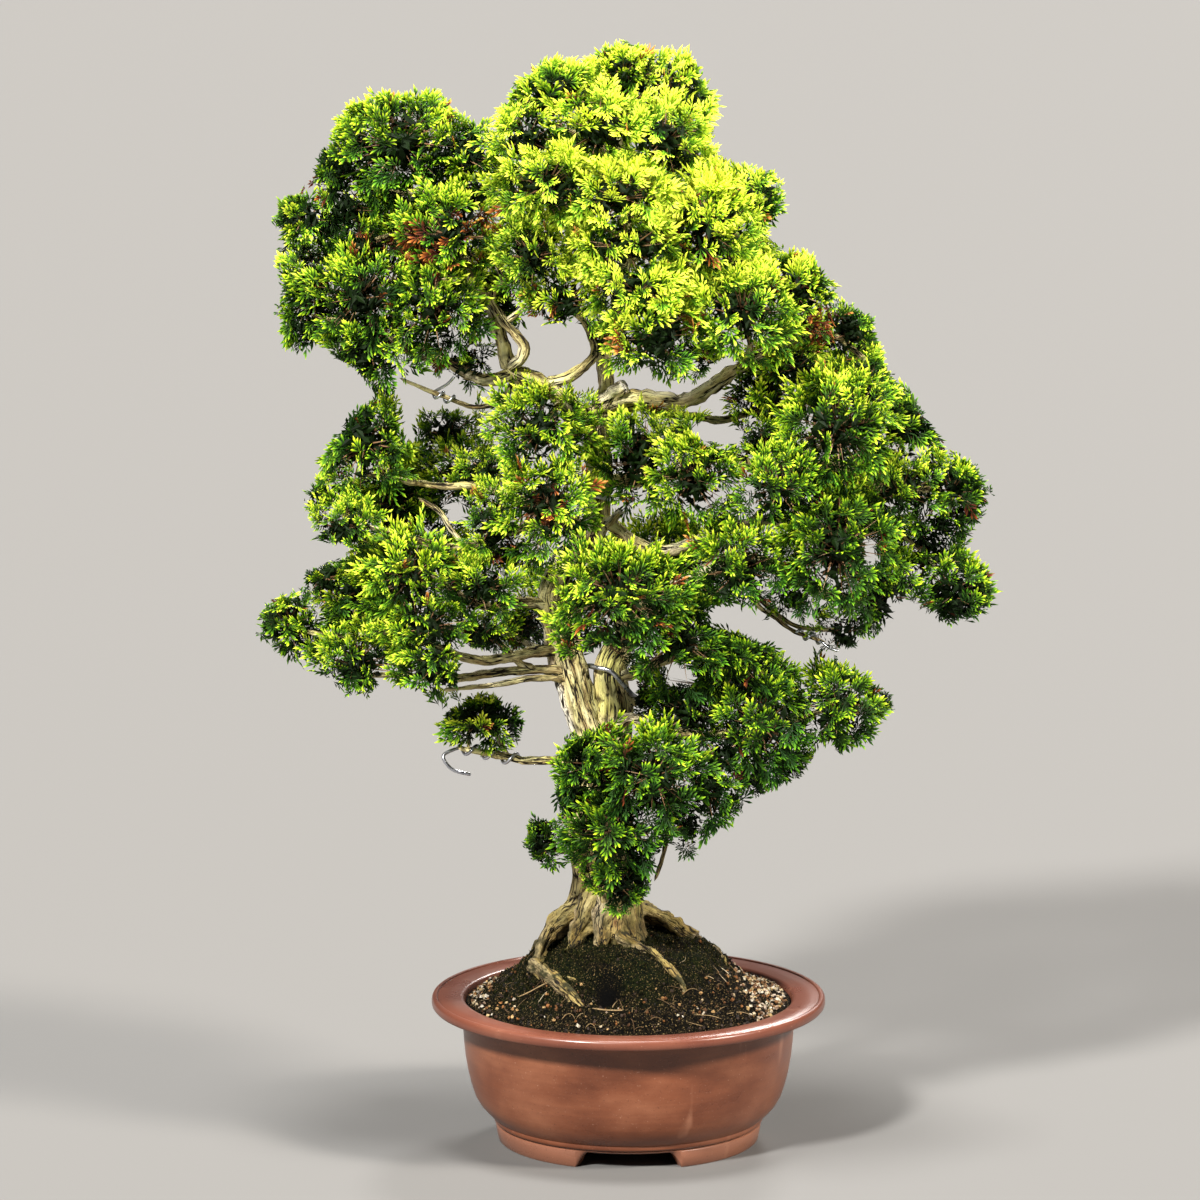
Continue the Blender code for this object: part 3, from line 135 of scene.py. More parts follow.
# Wood, as points along each stem: x, y, z and radius
TRUNK = {
    "base": [(-19, 0, 150, 42), (-19, 0, 190, 40), (-18, 0, 206, 35), (-18, 0, 228, 31), (-22, -3, 270, 28),
        (-26, -5, 313, 26), (-26, -6, 338, 22), (-25, -6, 358, 16), (-24, -6, 374, 10)],
    "left_column": [(-23, -5, 312, 22), (-30, -8, 366, 17), (-41, -8, 400, 15.5), (-49, -8, 429, 15.5),
        (-57, -8, 457, 15), (-65, -6, 486, 13.5), (-69, -2, 509, 12.5), (-58, 4, 532, 12.5),
        (-40, 6, 551, 12.5), (-29, 6, 572, 12), (-26, 6, 600, 11), (-27, 6, 625, 11), (-29, 6, 652, 10),
        (-28, 6, 682, 9.5)],
    "right_column": [(-22, -5, 320, 19), (-16, -5, 368, 18.5), (-14, -5, 405, 17), (-17, 0, 439, 15),
        (-6, 8, 463, 13)],
}
LIMBS = {
    "right_column_top": [(-8, 7, 455, 12.5), (19, 10, 493, 10.5), (60, 0, 522, 9), (102, -15, 541, 8),
        (141, -25, 532, 7), (181, -40, 513, 5), (218, -50, 511, 4)],
    "leader": [(-28, 6, 675, 9), (-20, 8, 696, 8), (-23, 8, 718, 7.5), (-17, 10, 740, 7),
        (-8, 12, 783, 6.5), (-1, 10, 833, 6), (-6, 5, 892, 5), (-9, 5, 950, 4)],
    "left_limb": [(-29, 6, 655, 9.5), (-44, -4, 672, 9.5), (-60, -12, 687, 9.5), (-75, -18, 701, 9.5),
        (-98, -20, 710, 9), (-110, -20, 719, 8)],
    "left_limb_up": [(-107, -20, 714, 8), (-115, -19, 745, 6.5), (-127, -10, 777, 5.5), (-143, 0, 807, 5),
        (-161, 5, 843, 4.5), (-183, 8, 879, 4), (-203, 10, 905, 3)],
    "loop": [(-108, -22, 716, 6), (-97, -31, 727, 5.5), (-94, -34, 739, 5.5), (-101, -34, 749, 5),
        (-112, -31, 760, 5), (-122, -29, 776, 4.6), (-131, -31, 786, 4.4), (-144, -34, 797, 4),
        (-168, -40, 800, 3)],
    "left_head_low": [(-102, -20, 712, 7), (-122, -21, 706, 6.5), (-137, -21, 708, 6),
        (-153, -21, 717, 5.5), (-180, -23, 732, 5), (-212, -25, 743, 4)],
    "centre_branch": [(-75, -18, 702, 6), (-55, -22, 708, 5.5), (-41, -25, 718, 5), (-30, -28, 735, 4.5),
        (-39, -40, 759, 4), (-55, -56, 778, 3)],
    "right_limb": [(-26, 6, 678, 9), (-2, 0, 687, 8), (28, -6, 687, 7.5), (50, -10, 685, 7.5),
        (70, -14, 696, 7.5), (91, -18, 711, 7), (104, -22, 720, 6.5), (135, -28, 739, 5.5),
        (167, -30, 748, 4.5), (196, -33, 744, 3.5)],
    "second_right": [(-25, 6, 668, 6), (10, 15, 677, 5), (33, 10, 671, 4.5), (62, 0, 670, 4),
        (85, -10, 668, 4), (120, -16, 680, 3)],
    "far_right": [(-26, 6, 609, 8), (10, 14, 610, 7), (46, 14, 617, 6.5), (75, 0, 633, 6.5),
        (98, -18, 633, 6), (118, -28, 628, 6), (157, -40, 630, 6), (193, -50, 629, 5.5), (225, -50, 613, 5),
        (257, -45, 610, 4), (282, -38, 611, 3)],
    "low_limb": [(-28, 6, 581, 7), (-12, -4, 569, 6.5), (8, -12, 555, 6), (34, -20, 550, 6),
        (59, -26, 560, 5), (82, -34, 571, 4.5), (107, -45, 580, 4), (144, -60, 583, 4), (184, -68, 578, 4),
        (216, -55, 583, 3.5), (248, -38, 566, 3), (278, -38, 538, 2.4)],
    "left_middle_limb": [(-33, 6, 563, 8), (-62, -10, 577, 7), (-94, -20, 592, 6), (-121, -22, 606, 5),
        (-143, -22, 610, 4.2), (-170, -20, 609, 3.6), (-202, -18, 614, 3), (-245, -22, 622, 2.4)],
    "left_fork": [(-62, -10, 576, 5), (-107, -30, 570, 4.5), (-143, -45, 560, 4), (-174, -52, 561, 3.5),
        (-205, -54, 571, 3), (-245, -62, 582, 2.4)],
    "left_upper": [(-66, -4, 497, 6), (-85, -12, 501, 5.5), (-107, -22, 503, 5), (-125, -30, 501, 4.5),
        (-145, -42, 510, 3.5), (-178, -66, 536, 3)],
    "left_pale": [(-60, -8, 457, 6.5), (-80, -20, 458, 6), (-103, -32, 456, 5.5), (-128, -44, 454, 5),
        (-154, -52, 460, 4), (-183, -54, 472, 3.6), (-211, -46, 481, 3.2), (-242, -36, 476, 3),
        (-270, -28, 474, 2.6), (-297, -24, 478, 2)],
    "left_long": [(-52, -8, 436, 5.5), (-76, -17, 441, 5), (-103, -24, 441, 4.6), (-125, -30, 440, 4.4),
        (-148, -36, 437, 4.2), (-169, -42, 437, 4), (-206, -46, 441, 3), (-250, -52, 442, 2)],
    "lower_left": [(-30, -7, 346, 6), (-53, -12, 354, 5), (-74, -14, 356, 4.4), (-94, -14, 355, 4),
        (-112, -14, 359, 3.8), (-135, -14, 364, 3.4), (-156, -14, 368, 3)],
    "yellow_right": [(-14, -2, 430, 6.5), (4, -16, 437, 6), (19, -24, 445, 6), (36, -34, 454, 5),
        (64, -48, 462, 4), (100, -68, 460, 3)],
    "low_right": [(-20, -8, 372, 7), (-1, -26, 397, 5.5), (27, -44, 393, 5), (60, -54, 388, 4.5),
        (96, -60, 392, 4), (136, -57, 400, 3.6), (177, -47, 409, 3), (209, -38, 412, 2.4)],
    "low_front": [(-22, -10, 330, 8), (-15, -50, 343, 6), (10, -72, 345, 5), (46, -84, 341, 4),
        (72, -92, 341, 3)],
}
CUT_STUMPS = {
    "cut_stump": [(-26, 4, 680, 8), (-15, -2, 690, 7), (-4, -8, 700, 6)],
    "snag": [(-24, 4, 566, 5), (-15, -7, 576, 4.5), (-7, -11, 585, 4)],
    "dead_spike": [(-113, -19, 740, 4.5), (-121, -22, 752, 4), (-124, -24, 760, 3)],
    "cut_root": [(-10, 4, 218, 12), (18, 10, 210, 8), (36, 9, 201, 7), (50, 4, 192, 7.5),
        (60, 0, 186, 8.5)],
}
ROOTS = {
    "left": [(-22, -5, 226, 17), (-46, -14, 219, 13), (-62, -22, 210, 10), (-73, -31, 199, 7.5),
        (-79, -40, 186, 7), (-83, -50, 174, 6.5), (-84, -56, 164, 5)],
    "front_left": [(-90, -46, 171, 5), (-85, -55, 174, 7.5), (-75, -72, 171, 7.5), (-62, -92, 164, 7),
        (-49, -107, 157, 6), (-39, -118, 148, 4)],
    "front": [(-28, -12, 236, 15), (-38, -24, 214, 13), (-46, -33, 199, 9), (-54, -41, 186, 5),
        (-62, -50, 172, 3)],
    "front_rib": [(-20, -14, 236, 15), (-23, -30, 214, 12), (-25, -41, 198, 8), (-27, -52, 184, 4)],
    "right_rib": [(-6, -10, 234, 13), (-3, -23, 212, 11), (1, -31, 198, 8), (6, -40, 182, 4)],
    "front_right": [(-12, -10, 212, 13), (-3, -42, 194, 8), (19, -66, 189.6, 5.8), (35, -85, 179, 4.6),
        (47, -94, 167.4, 3.6), (54, -101, 157, 2.4)],
    "right": [(-10, 6, 218, 14), (18, 20, 206, 9), (40, 28, 192, 7), (62, 24, 181, 5), (80, 4, 175, 4.2),
        (86, -12, 167, 4), (89, -22, 154, 3)],
    "back_right": [(-14, 8, 216, 15), (5, 36, 200, 9), (22, 62, 184, 7), (36, 86, 160, 5),
        (42, 98, 140, 4)],
    "back_left": [(-24, 8, 216, 15), (-45, 30, 202, 10), (-66, 48, 186, 7), (-84, 64, 164, 5),
        (-94, 74, 142, 4)],
}
TWIGS = {
    "loop_fork": [(-122, -29, 774, 3.4), (-121, -35, 791, 3.2), (-113, -40, 800, 2.8),
        (-121, -46, 819, 2.4)],
    "loop_right": [(-112, -31, 759, 3.4), (-92, -40, 774, 3), (-70, -55, 786, 2.4)],
    "thin_left": [(-104, -16, 706, 4), (-113, -16, 687, 3.2), (-137, -22, 682, 3), (-161, -28, 690, 2.6),
        (-178, -30, 697, 2.4), (-206, -34, 710, 2)],
    "left_head_front": [(-153, -21, 717, 3.6), (-200, -35, 735, 3.2), (-238, -42, 775, 2.4)],
    "left_head_edge": [(-212, -25, 743, 3.6), (-250, -24, 757, 3), (-286, -16, 764, 2.4)],
    "left_head_out": [(-161, 5, 842, 4.4), (-192, 5, 837, 4), (-219, 2, 832, 3.6), (-246, 4, 822, 3.2),
        (-276, 14, 812, 2.6)],
    "left_head_shoulder": [(-180, 8, 874, 4), (-215, 15, 871, 3.5), (-248, 24, 882, 2.8)],
    "left_head_inner": [(-143, 0, 807, 4), (-150, -30, 818, 3.2), (-160, -50, 828, 2.6)],
    "left_head_back": [(-127, -10, 777, 5), (-155, 30, 790, 4.5), (-190, 70, 785, 4), (-245, 84, 808, 3)],
    "left_head_back_up": [(-155, 30, 790, 4), (-170, 65, 825, 3.5), (-184, 88, 850, 3)],
    "crown_left": [(-6, 5, 892, 4), (-35, -12, 920, 3.5), (-72, -34, 940, 2.6)],
    "crown_high": [(-3, 8, 865, 4.5), (-8, -30, 905, 3.8), (-18, -55, 930, 2.6)],
    "crown_front_left": [(-2, 10, 828, 4.5), (-40, -45, 858, 3.8), (-70, -80, 880, 2.6)],
    "crown_front": [(-3, 11, 815, 4.5), (-2, -45, 838, 4), (-10, -85, 862, 3)],
    "crown_right": [(-3, 9, 850, 4.5), (50, -12, 862, 4), (98, -28, 866, 2.8)],
    "crown_low": [(-13, 11, 755, 4.5), (-2, -55, 775, 4), (10, -105, 786, 3)],
    "crown_back_high": [(-3, 9, 862, 4.5), (-10, 40, 895, 4), (-22, 76, 928, 3)],
    "crown_back_left": [(-6, 12, 795, 5), (-25, 65, 805, 4.5), (-45, 112, 820, 3)],
    "crown_back_right": [(-4, 11, 805, 5), (20, 65, 818, 4.5), (45, 105, 840, 3)],
    "crown_back_low": [(-15, 11, 748, 5), (12, 75, 760, 4.5), (40, 128, 772, 3)],
    "right_limb_up": [(104, -22, 720, 4), (108, -38, 741, 3.6), (102, -66, 764, 3), (102, -98, 776, 2.4)],
    "right_limb_fork": [(135, -28, 739, 3.4), (137, -34, 765, 3), (139, -38, 795, 2.4)],
    "right_limb_end": [(190, -33, 744, 3.6), (226, -28, 712, 3), (247, -23, 674, 2.4)],
    "right_front": [(118, -28, 628, 4), (150, -70, 645, 3.6), (186, -96, 664, 2.6)],
    "right_back": [(91, -18, 711, 5), (120, 35, 713, 4.5), (160, 85, 708, 3.6), (198, 102, 668, 3)],
    "right_low_back": [(118, -28, 628, 5), (150, 35, 618, 4.5), (196, 88, 584, 3.6)],
    "right_low_front": [(150, -62, 582, 3.6), (172, -90, 582, 3.2), (186, -108, 575, 2.6)],
    "right_middle_front": [(59, -26, 560, 3.8), (85, -70, 566, 3.4), (98, -108, 556, 2.6)],
    "right_middle_up": [(107, -45, 580, 3.6), (125, -80, 602, 3.2), (134, -108, 618, 2.6)],
    "low_thin": [(102, -15, 539, 3.4), (109, -30, 523, 3.2), (120, -38, 508, 3), (135, -41, 495, 2.8),
        (153, -45, 485, 2.6), (190, -56, 484, 2.2)],
    "low_thin_end": [(109, -30, 522, 3), (116, -43, 505, 2.6), (132, -51, 494, 2.4), (148, -55, 483, 2.4),
        (177, -60, 474, 2)],
    "middle_up": [(10, 14, 610, 4), (10, -15, 616, 3.5), (12, -40, 624, 2.6)],
    "middle_left_front": [(-94, -20, 592, 4), (-75, -50, 604, 3.6), (-66, -78, 616, 2.6)],
    "middle_left_high": [(-60, -12, 687, 4), (-70, -40, 678, 3.4), (-79, -62, 670, 2.6)],
    "left_back": [(-94, -20, 592, 4.5), (-135, 35, 605, 4), (-185, 68, 608, 3.4), (-222, 76, 610, 2.6)],
    "left_back_low": [(-107, -22, 503, 4), (-145, 40, 520, 3.6), (-188, 88, 538, 3)],
    "left_bottom_back": [(-80, -20, 458, 4), (-110, 35, 462, 3.6), (-180, 92, 462, 3.2),
        (-250, 84, 484, 2.6)],
    "left_upright": [(-150, -47, 562, 3), (-160, -41, 574, 3), (-171, -34, 589, 2.8),
        (-190, -27, 600, 2.2)],
    "left_hook": [(-85, -20, 442, 4.6), (-98, -26, 448, 4.2), (-107, -32, 458, 3.8), (-125, -46, 480, 2.4)],
    "left_second": [(-50, -8, 428, 4.6), (-69, -19, 433, 4), (-94, -28, 434, 3.6), (-116, -36, 431, 3.2),
        (-139, -44, 430, 2.6), (-168, -60, 430, 2)],
    "left_low_up": [(-154, -52, 460, 3), (-166, -68, 463, 2.6), (-176, -80, 466, 2.2)],
    "left_inner": [(-125, -30, 501, 3.4), (-130, -45, 510, 3), (-132, -58, 518, 2.4)],
    "left_middle_low": [(-242, -36, 476, 3), (-250, -10, 482, 2.6), (-256, 6, 487, 2.2)],
    "lower_left_up": [(-108, -14, 357, 2.8), (-117, -13, 373, 2.4), (-123, -11, 389, 2)],
    "lower_left_tip": [(-146, -14, 366, 2.4), (-145, -13, 376, 2.2), (-145, -11, 387, 2)],
    "middle_front": [(-6, 8, 463, 5), (-10, -50, 490, 4.5), (-10, -108, 522, 3.2)],
    "middle_back": [(-6, 8, 463, 6), (-2, 65, 488, 5), (-4, 122, 508, 3.6)],
    "middle_back_fork": [(-2, 65, 488, 4), (-30, 95, 484, 3.6), (-55, 112, 481, 3)],
    "low_back": [(-14, -5, 405, 6), (25, 50, 402, 5), (76, 90, 404, 3.5)],
    "low_right_front": [(96, -60, 392, 3.6), (108, -74, 398, 3.2), (120, -86, 404, 2.6)],
    "low_front_left": [(-18, -36, 338, 5), (-26, -62, 351, 4), (-33, -90, 362, 3)],
    "low_front_down": [(-8, -58, 344, 4.6), (1, -86, 322, 4), (-4, -95, 294, 3), (-8, -86, 260, 2.4)],
    "hanging": [(40, -81, 341, 3), (37, -80, 319, 2.8), (33, -76, 291, 2.6), (27, -72, 267, 2.4),
        (23, -70, 256, 2)],
    "left_twig": [(-37, -12, 272, 4), (-55, -28, 274, 3), (-74, -40, 281, 2.4)],
    "small_root": [(-58, -78, 169, 3.4), (-46, -93, 169, 3.2), (-32, -93, 167, 2.8)],
}

# Foliage, as clumps of sprays: x, y, z, half width and half height of each. A pad's main clumps come
# first, and the small ones after them are thin growth on the twigs round it
FOLIAGE = {
    "left_head_top": [(-205, 10, 915, 58, 45), (-150, 0, 905, 34, 36), (-140, -10, 872, 28, 26),
        (-170, -4, 905, 20, 18)],
    "left_head_shoulder": [(-262, 22, 890, 34, 36), (-293, 2, 848, 31, 30), (-254, 4, 856, 26, 26),
        (-272, 14, 838, 20, 20), (-254, 0, 901, 18, 16), (-268, 6, 868, 18, 16)],
    "left_head_outer": [(-284, 4, 785, 34, 50), (-290, -6, 752, 20, 20)],
    "left_head_front": [(-240, -44, 785, 40, 34), (-232, -40, 736, 38, 34), (-238, -8, 824, 30, 22),
        (-232, -14, 754, 24, 22), (-134, -4, 902, 24, 20)],
    "left_head_inner": [(-176, -52, 775, 38, 42), (-160, -50, 840, 40, 34), (-122, 2, 778, 32, 34),
        (-88, 22, 806, 30, 26), (-146, -22, 722, 26, 20)],
    "left_head_back": [(-248, 88, 800, 46, 48), (-188, 92, 840, 46, 50), (-158, 32, 796, 34, 34),
        (-196, 38, 800, 34, 34)],
    "crown_left": [(-68, -20, 960, 42, 36), (-90, -52, 925, 30, 28)],
    "crown_top": [(-6, 2, 978, 36, 32), (40, -12, 965, 36, 34)],
    "crown_front_high": [(-26, -62, 936, 38, 31), (32, -66, 927, 40, 30)],
    "crown_front_left": [(-75, -90, 888, 42, 28), (-86, -80, 826, 30, 30)],
    "crown_front": [(-10, -98, 880, 42, 28), (0, -105, 838, 48, 24), (70, -88, 848, 36, 44)],
    "crown_right": [(104, -25, 868, 38, 34)],
    "crown_low_front": [(8, -115, 798, 46, 26), (23, -120, 758, 40, 36), (-57, -62, 782, 32, 34),
        (-28, -38, 748, 24, 22), (62, -60, 738, 26, 18)],
    "crown_low_right": [(100, -105, 778, 42, 36), (148, -50, 790, 40, 36)],
    "crown_back_high": [(-8, 85, 930, 58, 42), (-12, 30, 905, 36, 34), (50, 32, 900, 30, 30)],
    "crown_back_left": [(-58, 112, 850, 46, 52), (-32, 52, 812, 32, 30), (-62, 34, 880, 30, 32)],
    "crown_back_right": [(55, 105, 842, 58, 40), (60, 125, 775, 60, 40), (44, 42, 822, 34, 30),
        (24, 58, 764, 32, 28), (96, 30, 812, 28, 28)],
    "right_high": [(198, -30, 751, 32, 27), (213, -55, 707, 34, 27)],
    "right_front": [(124, -15, 690, 30, 40), (185, -98, 675, 46, 42), (118, -52, 650, 28, 26),
        (150, -50, 720, 26, 22)],
    "right_edge": [(248, -25, 664, 34, 40), (264, -30, 626, 20, 18)],
    "right_tip": [(290, -38, 608, 44, 34), (242, -75, 612, 30, 26), (282, -34, 576, 24, 16),
        (300, -34, 584, 18, 18), (270, -34, 560, 20, 16)],
    "right_tip_low": [(268, -30, 548, 32, 28), (292, -42, 515, 43, 32)],
    "right_low": [(230, -61, 518, 36, 34), (192, -60, 482, 20, 20), (220, -56, 502, 18, 16)],
    "right_low_front": [(185, -112, 568, 40, 50)],
    "right_middle_front": [(134, -115, 621, 34, 32), (57, -82, 625, 34, 38)],
    "right_middle_low": [(97, -115, 548, 34, 34), (150, -70, 540, 26, 24), (150, -54, 512, 24, 16),
        (78, -84, 588, 20, 16)],
    "right_back_high": [(180, 100, 688, 52, 48), (136, 36, 712, 34, 30), (198, 30, 690, 32, 30)],
    "right_back_low": [(210, 102, 568, 48, 50), (168, 36, 606, 34, 30), (214, 24, 560, 30, 30)],
    "middle_high": [(10, -25, 634, 34, 40), (46, -36, 655, 26, 22)],
    "middle_left": [(-80, -70, 668, 38, 34), (-72, -82, 600, 32, 46), (-122, -60, 580, 26, 32),
        (-48, -26, 664, 28, 26), (-90, -22, 690, 26, 14), (-128, -14, 622, 22, 18)],
    "left_high": [(-238, -24, 648, 36, 46), (-272, -15, 598, 28, 18)],
    "left_pale": [(-254, -70, 578, 32, 24)],
    "left_outer": [(-277, -20, 525, 28, 24), (-308, -20, 483, 32, 36)],
    "left_low_middle": [(-243, -5, 512, 32, 42)],
    "left_middle": [(-195, -72, 535, 38, 40), (-182, -85, 492, 34, 24)],
    "left_inner": [(-132, -62, 522, 36, 24), (-128, -48, 478, 26, 18), (-108, -24, 546, 26, 22),
        (-98, 30, 476, 28, 16)],
    "left_low": [(-247, -53, 452, 38, 30), (-176, -80, 455, 32, 32)],
    "left_back": [(-205, 85, 575, 50, 60), (-163, 70, 642, 34, 24), (-150, 32, 606, 32, 30),
        (-212, 22, 588, 28, 28)],
    "left_back_low": [(-225, 92, 475, 60, 42), (-95, 75, 460, 24, 20), (-160, 38, 520, 32, 28),
        (-140, 34, 464, 32, 24), (-204, 26, 470, 30, 26)],
    "lower_left": [(-131, -10, 393, 44, 26)],
    "middle_front": [(-8, -118, 526, 52, 40), (-26, -112, 484, 40, 24)],
    "middle_front_right": [(47, -95, 482, 34, 36), (100, -75, 458, 38, 34)],
    "middle_back": [(30, 122, 505, 62, 46), (-55, 115, 481, 36, 34), (-4, 60, 494, 34, 28),
        (60, 50, 512, 30, 26)],
    "low_right": [(119, -85, 402, 40, 44), (55, -72, 412, 28, 26), (14, -34, 416, 18, 18),
        (142, -60, 366, 26, 22), (86, -84, 372, 28, 24), (112, -60, 352, 26, 22), (96, -70, 386, 18, 16),
        (118, -62, 373, 18, 14)],
    "low_right_tip": [(188, -54, 408, 36, 40), (225, -34, 412, 20, 16)],
    "low_back": [(90, 98, 400, 56, 42), (46, 52, 402, 34, 28)],
    "low_front": [(-30, -92, 368, 38, 34), (22, -125, 364, 40, 36), (71, -100, 347, 30, 36),
        (52, -92, 310, 20, 22), (-52, -84, 330, 20, 24), (-44, -58, 332, 22, 20), (38, -82, 362, 20, 18),
        (18, -82, 334, 20, 20), (44, -84, 336, 18, 18), (2, -70, 360, 20, 16)],
    "low_front_hanging": [(-6, -112, 308, 40, 34), (-8, -90, 256, 24, 28), (8, -88, 268, 22, 26),
        (-24, -86, 270, 20, 24), (-38, -58, 300, 18, 22)],
    "low_left_twig": [(-78, -42, 283, 22, 32)],
}

# A clump's half depth as a share of its other half sizes' mean, and how much of its reach hides what is
# behind it
CLUMP_DEPTH = 0.95
CLUMP_MIDDLE = 0.78

# The canopy's outline and the windows in it, as x and z on the trunk's plane from the camera's place
CANOPY = [(-15, 1008), (19, 1004), (51, 1005), (63, 983), (80, 960), (83, 942), (74, 925), (83, 900),
          (110, 898), (134, 889), (138, 861), (125, 834), (131, 821), (164, 819), (173, 798), (194, 771),
          (219, 761), (228, 735), (237, 707), (258, 685), (267, 662), (290, 639), (313, 625), (326, 602),
          (322, 580), (304, 552), (325, 534), (334, 506), (323, 490), (296, 479), (278, 488), (250, 506),
          (232, 500), (240, 478), (212, 460), (169, 451), (190, 446), (221, 435), (233, 418), (242, 402),
          (229, 386), (222, 367), (197, 359), (174, 370), (163, 344), (147, 330), (124, 321), (103, 316),
          (100, 293), (76, 279), (56, 254), (45, 258), (36, 274), (20, 262), (21, 237), (11, 218),
          (-8, 206), (-26, 212), (-40, 232), (-53, 256), (-67, 242), (-81, 253), (-95, 274), (-95, 299),
          (-76, 296), (-66, 302), (-64, 326), (-73, 349), (-53, 377), (-8, 391), (10, 418), (-17, 465),
          (-62, 446), (-99, 451), (-135, 418), (-171, 409), (-194, 414), (-224, 426), (-240, 412),
          (-258, 416), (-278, 437), (-307, 444), (-331, 460), (-336, 483), (-323, 501), (-298, 513),
          (-287, 529), (-257, 538), (-252, 551), (-281, 557), (-290, 580), (-300, 593), (-283, 604),
          (-279, 635), (-256, 656), (-242, 680), (-226, 687), (-233, 698), (-251, 717), (-276, 735),
          (-296, 724), (-314, 735), (-318, 767), (-309, 789), (-319, 812), (-311, 830), (-320, 846),
          (-313, 866), (-286, 875), (-279, 898), (-268, 920), (-260, 951), (-236, 963), (-205, 965),
          (-171, 968), (-153, 951), (-142, 933), (-124, 940), (-114, 956), (-89, 983), (-62, 996),
          (-35, 992)]
LOWER_LEFT_SPRAY = [(-176, 370), (-166, 398), (-149, 411), (-126, 415), (-99, 404), (-90, 383), (-103, 361),
                    (-128, 357), (-152, 363)]
WINDOWS = [
    [(-98, 762), (-75, 756), (-39, 759), (-26, 735), (-44, 712), (-62, 705), (-89, 707), (-103, 726)],
    [(10, 698), (28, 692), (55, 694), (91, 726), (98, 707), (82, 689), (84, 671), (64, 680), (19, 685)],
    [(55, 668), (105, 662), (102, 641), (73, 644), (55, 653)],
    [(-208, 685), (-188, 683), (-190, 648), (-207, 644)],
    [(-206, 696), (-170, 698), (-134, 685), (-143, 676), (-179, 677)],
    [(-158, 465), (-117, 451), (-80, 451), (-66, 418), (-62, 372), (-81, 353), (-99, 409), (-126, 418),
     (-153, 409)],
    [(28, 446), (56, 444), (65, 428), (56, 418), (33, 423)],
    [(69, 497), (119, 492), (155, 474), (151, 455), (110, 465), (74, 478)],
    [(209, 561), (227, 564), (228, 531), (214, 529)],
    [(-171, 595), (-143, 598), (-145, 573), (-166, 570)],
]

# Sprays: five sprigs on a stalk, each with how far along the stalk it stands, its turn and its size.
# Cells space the sprays out, closer where they show from the front. A spray's size goes by its clump's
# half width against the usual one, and its root stands at some share of the clump's reach
SPRAY_SPRIGS = [(0.0, 54, 0.84), (0.04, -54, 0.84), (0.26, 27, 0.98), (0.3, -27, 0.98), (0.52, 0, 1.0)]
SPRIG_LENGTH = 19.5
SPRIG_SHAPES = 12
SPRAYS_TRIED = 30000
SPRAY_CELL_FRONT = 19.6
SPRAY_CELL_OTHER = 41.0
SPRAY_REACH = 24.0
USUAL_CLUMP = 34.0
ROOT_SHARE = (0.58, 1.02)
GOLDEN_TURN = 0.618034
# Dark kites in each clump, coloured near black as painted shade in its middle
INNER_LEAVES = 150

# Where foliage is looked at from: the front, eight ways round it and four from higher up
FRONT_VIEW = (0, -1, 0.18)
VIEWS = [(math.cos(turn), math.sin(turn), 0.25) for turn in np.arange(8) * TURN / 8]
VIEWS += [(math.cos(turn), math.sin(turn), 1.2) for turn in np.arange(4) * TURN / 4]

# Light and shade painted into the leaves' tone: the way to the light, and spots of painted light and painted
# shade as x, z and radius in metres and gain
LIT_WAY = (-0.2, -0.3, 0.8)
LIT_SPOTS = [(0.02, 0.9, 0.16, 0.55), (-0.23, 0.79, 0.1, -0.1), (0.0, 0.33, 0.12, -0.16),
             (-0.24, 0.52, 0.14, 0.14), (-0.05, 0.6, 0.12, 0.14), (0.2, 0.58, 0.12, -0.12),
             (-0.13, 0.39, 0.05, 0.4), (-0.22, 0.9, 0.08, -0.12), (-0.31, 0.85, 0.06, 0.22),
             (0.25, 0.67, 0.07, 0.16), (-0.02, 0.25, 0.05, 0.26)]

# Dead, red-brown sprays, as x, z and radius on the trunk's plane
DRY_SPOTS = [(-194, 831, 22), (-137, 846, 18), (-239, 827, 9), (-78, 586, 20), (178, 746, 16), (56, 756, 8),
             (-16, 735, 9), (-78, 760, 8), (-26, 492, 7), (37, 481, 7)]

# Training wire, as radius and points along each piece; coils lie on a stretch of a stem and end in a tail
WIRES = {
    "wire_columns": (2.2, [(-18, 19.5, 432), (-32, 12, 438), (-36.5, -1, 441), (-31, -14, 442),
        (-17, -20.5, 440), (-7, -21, 430), (2, -19, 419), (8, -10, 412), (9, 3, 407)]),
    "wire_upper_trunk": (2.2, [(-27, 20.5, 600), (-40, 14, 602), (-41.5, 3, 602), (-36, -7, 600),
        (-26, -10.5, 598), (-17, -9, 595), (-11, -13, 592)]),
}
WIRE_COILS = {
    "wire_lower_left": dict(stem="lower_left", start=0.55, end=0.97, turns=3, radius=1.6,
        tail=[(-168, -17, 361), (-160, -21, 349), (-143, -21, 344)]),
    "wire_low_limb": dict(stem="low_limb", start=0.48, end=0.7, turns=3, radius=1.6,
        tail=[(214, -68, 590), (223, -70, 598)]),
}
WOUND_ENDS = [
    dict(stem="thin_left", start=0.55, end=0.72, turns=2, radius=1.3,
        tail=[(-163, -33, 704), (-156, -38, 712)]),
    dict(stem="low_thin_end", start=0.7, end=0.96, turns=2, radius=1.3,
        tail=[(180, -68, 470), (188, -72, 468)]),
    dict(stem="right_limb_end", start=0.45, end=0.62, turns=2, radius=1.3,
        tail=[(222, -42, 704), (214, -50, 700)]),
]
WIRE_STEP = 1.2
COIL_POINTS = 16

# Faces of a thin kite with a ridge along it, and of a spike on three points
KITE_FACES = np.array([(0, 1, 3), (0, 3, 2), (0, 2, 1), (3, 1, 2)])
SPIKE_FACES = np.array([(0, 2, 1), (0, 1, 3), (1, 2, 3), (2, 0, 3)])


# Sums and grids

def chance(name):
    """A seeded source of random numbers for one piece, from the letters of its name."""
    return np.random.default_rng([ord(letter) for letter in name])


